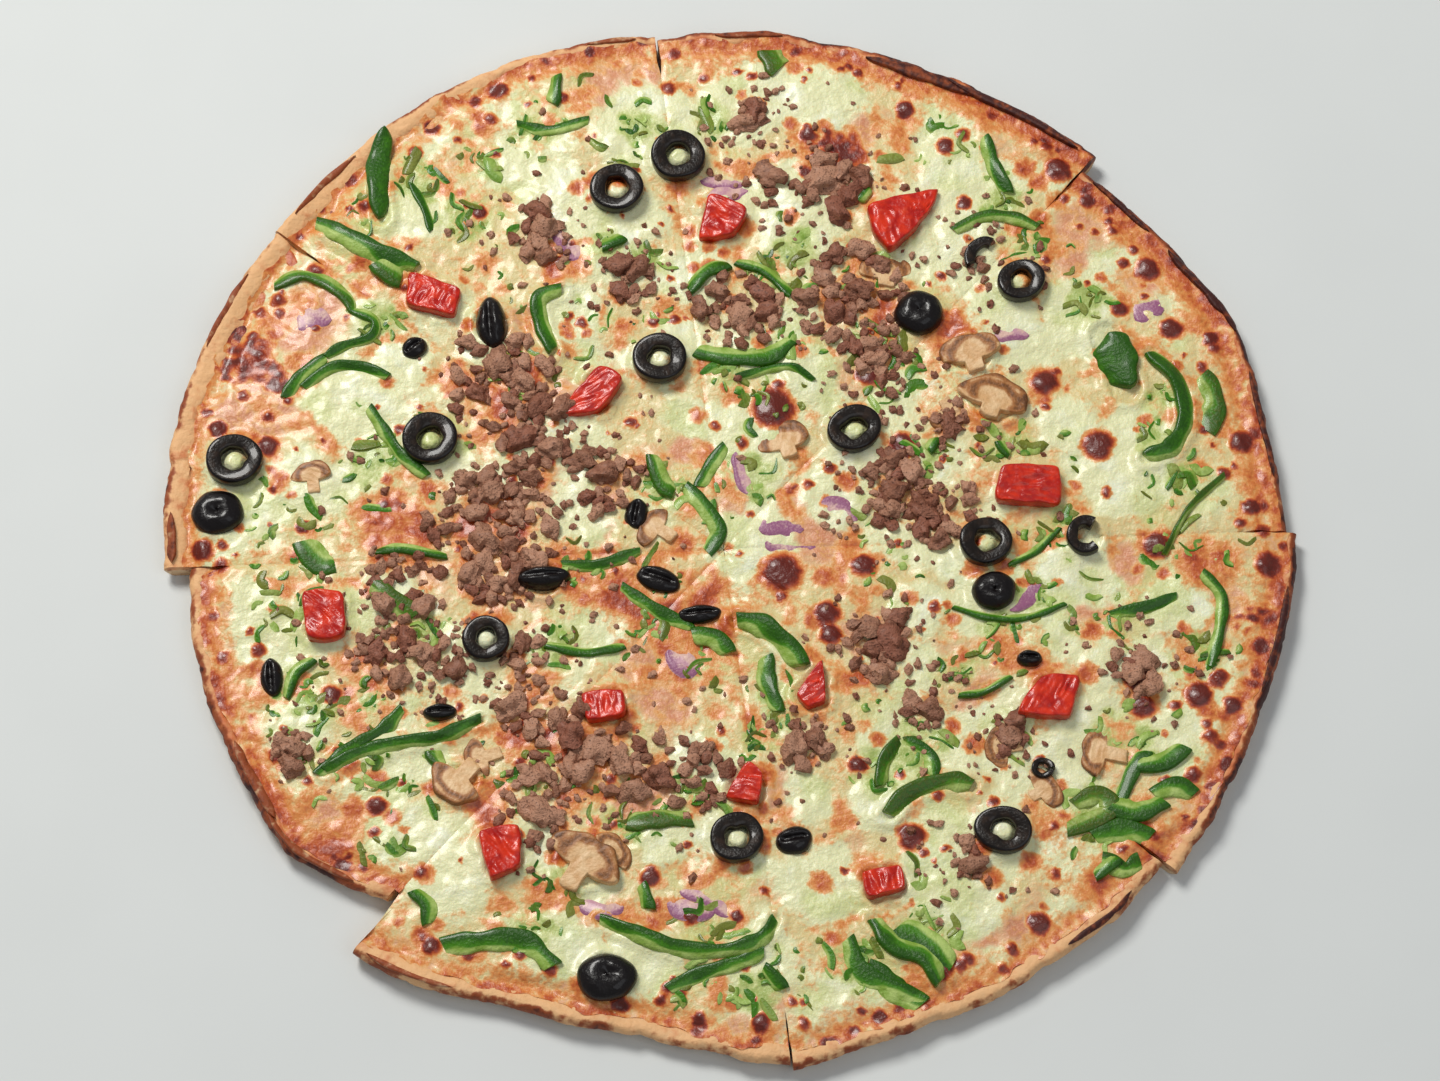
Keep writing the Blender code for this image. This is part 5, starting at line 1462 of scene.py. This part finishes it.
FLOOR = 3000.0  # half its width
UNDER = 0.02  # how far it lies below the pizza
floor_mesh = bpy.data.meshes.new("floor")
square = [(-FLOOR, -FLOOR), (FLOOR, -FLOOR), (FLOOR, FLOOR), (-FLOOR, FLOOR)]
floor_mesh.from_pydata([(x * MM, y * MM, -UNDER * MM) for x, y in square], [], [(0, 1, 2, 3)])
floor_mesh.materials.append(pale_floor())
floor = bpy.data.objects.new("floor", floor_mesh)
bpy.context.scene.collection.objects.link(floor)


# %% [markdown]
# ## Light and camera
#
# A soft lamp is a square that glows, and the larger it is, the softer its shadows. The window lamp gives
# the wet highlights and one clear shadow side, the fill and the sky keep the shadows open, and the
# standard view shows colours as they were written.

# %% Light
def lamp(name, place, size, power, colour):
    """A square soft lamp that faces the pizza, with its place and size in metres and power in watts."""
    light = bpy.data.lights.new(name, "AREA")
    light.size = size
    light.energy = power
    light.color = linear(colour)[:3]
    made = bpy.data.objects.new(name, light)
    made.location = place
    made.rotation_euler = (-Vector(place)).to_track_quat("-Z", "Y").to_euler()
    bpy.context.scene.collection.objects.link(made)
    print(name, "lamp of", power, "W,", round(Vector(place).length, 2), "m away")


SKY_STRENGTH = 0.29
lamp("window", (-0.55, 0.75, 1.25), 0.5, 20, "#FFFDF8")
lamp("fill", (0.7, -0.6, 1.3), 1.0, 3.5, "#F6FAFF")
world = bpy.data.worlds.new("sky")
world.use_nodes = True
world.node_tree.nodes["Background"].inputs[0].default_value = linear("#F4F7FA")
world.node_tree.nodes["Background"].inputs[1].default_value = SKY_STRENGTH
bpy.context.scene.world = world
bpy.context.scene.view_settings.view_transform = "Standard"

# %% Camera
AIM = Vector((-2.5, -2.5, 4.0)) * MM
CAMERA_DISTANCE = 1458 * MM
CAMERA_ELEVATION = math.radians(68)
camera_data = bpy.data.cameras.new("camera")
camera_data.lens = 135.0  # a long lens, so that the far rim isn't much smaller than the near one
camera_data.sensor_width = 36.0
camera_data.clip_end = 20.0
camera = bpy.data.objects.new("camera", camera_data)
away = Vector((0, -math.cos(CAMERA_ELEVATION), math.sin(CAMERA_ELEVATION)))
camera.location = AIM + away * CAMERA_DISTANCE
camera.rotation_euler = (-away).to_track_quat("-Z", "Y").to_euler()
bpy.context.scene.collection.objects.link(camera)
bpy.context.scene.camera = camera
print("the camera stands", tuple(round(value, 3) for value in camera.location), "m from the origin")
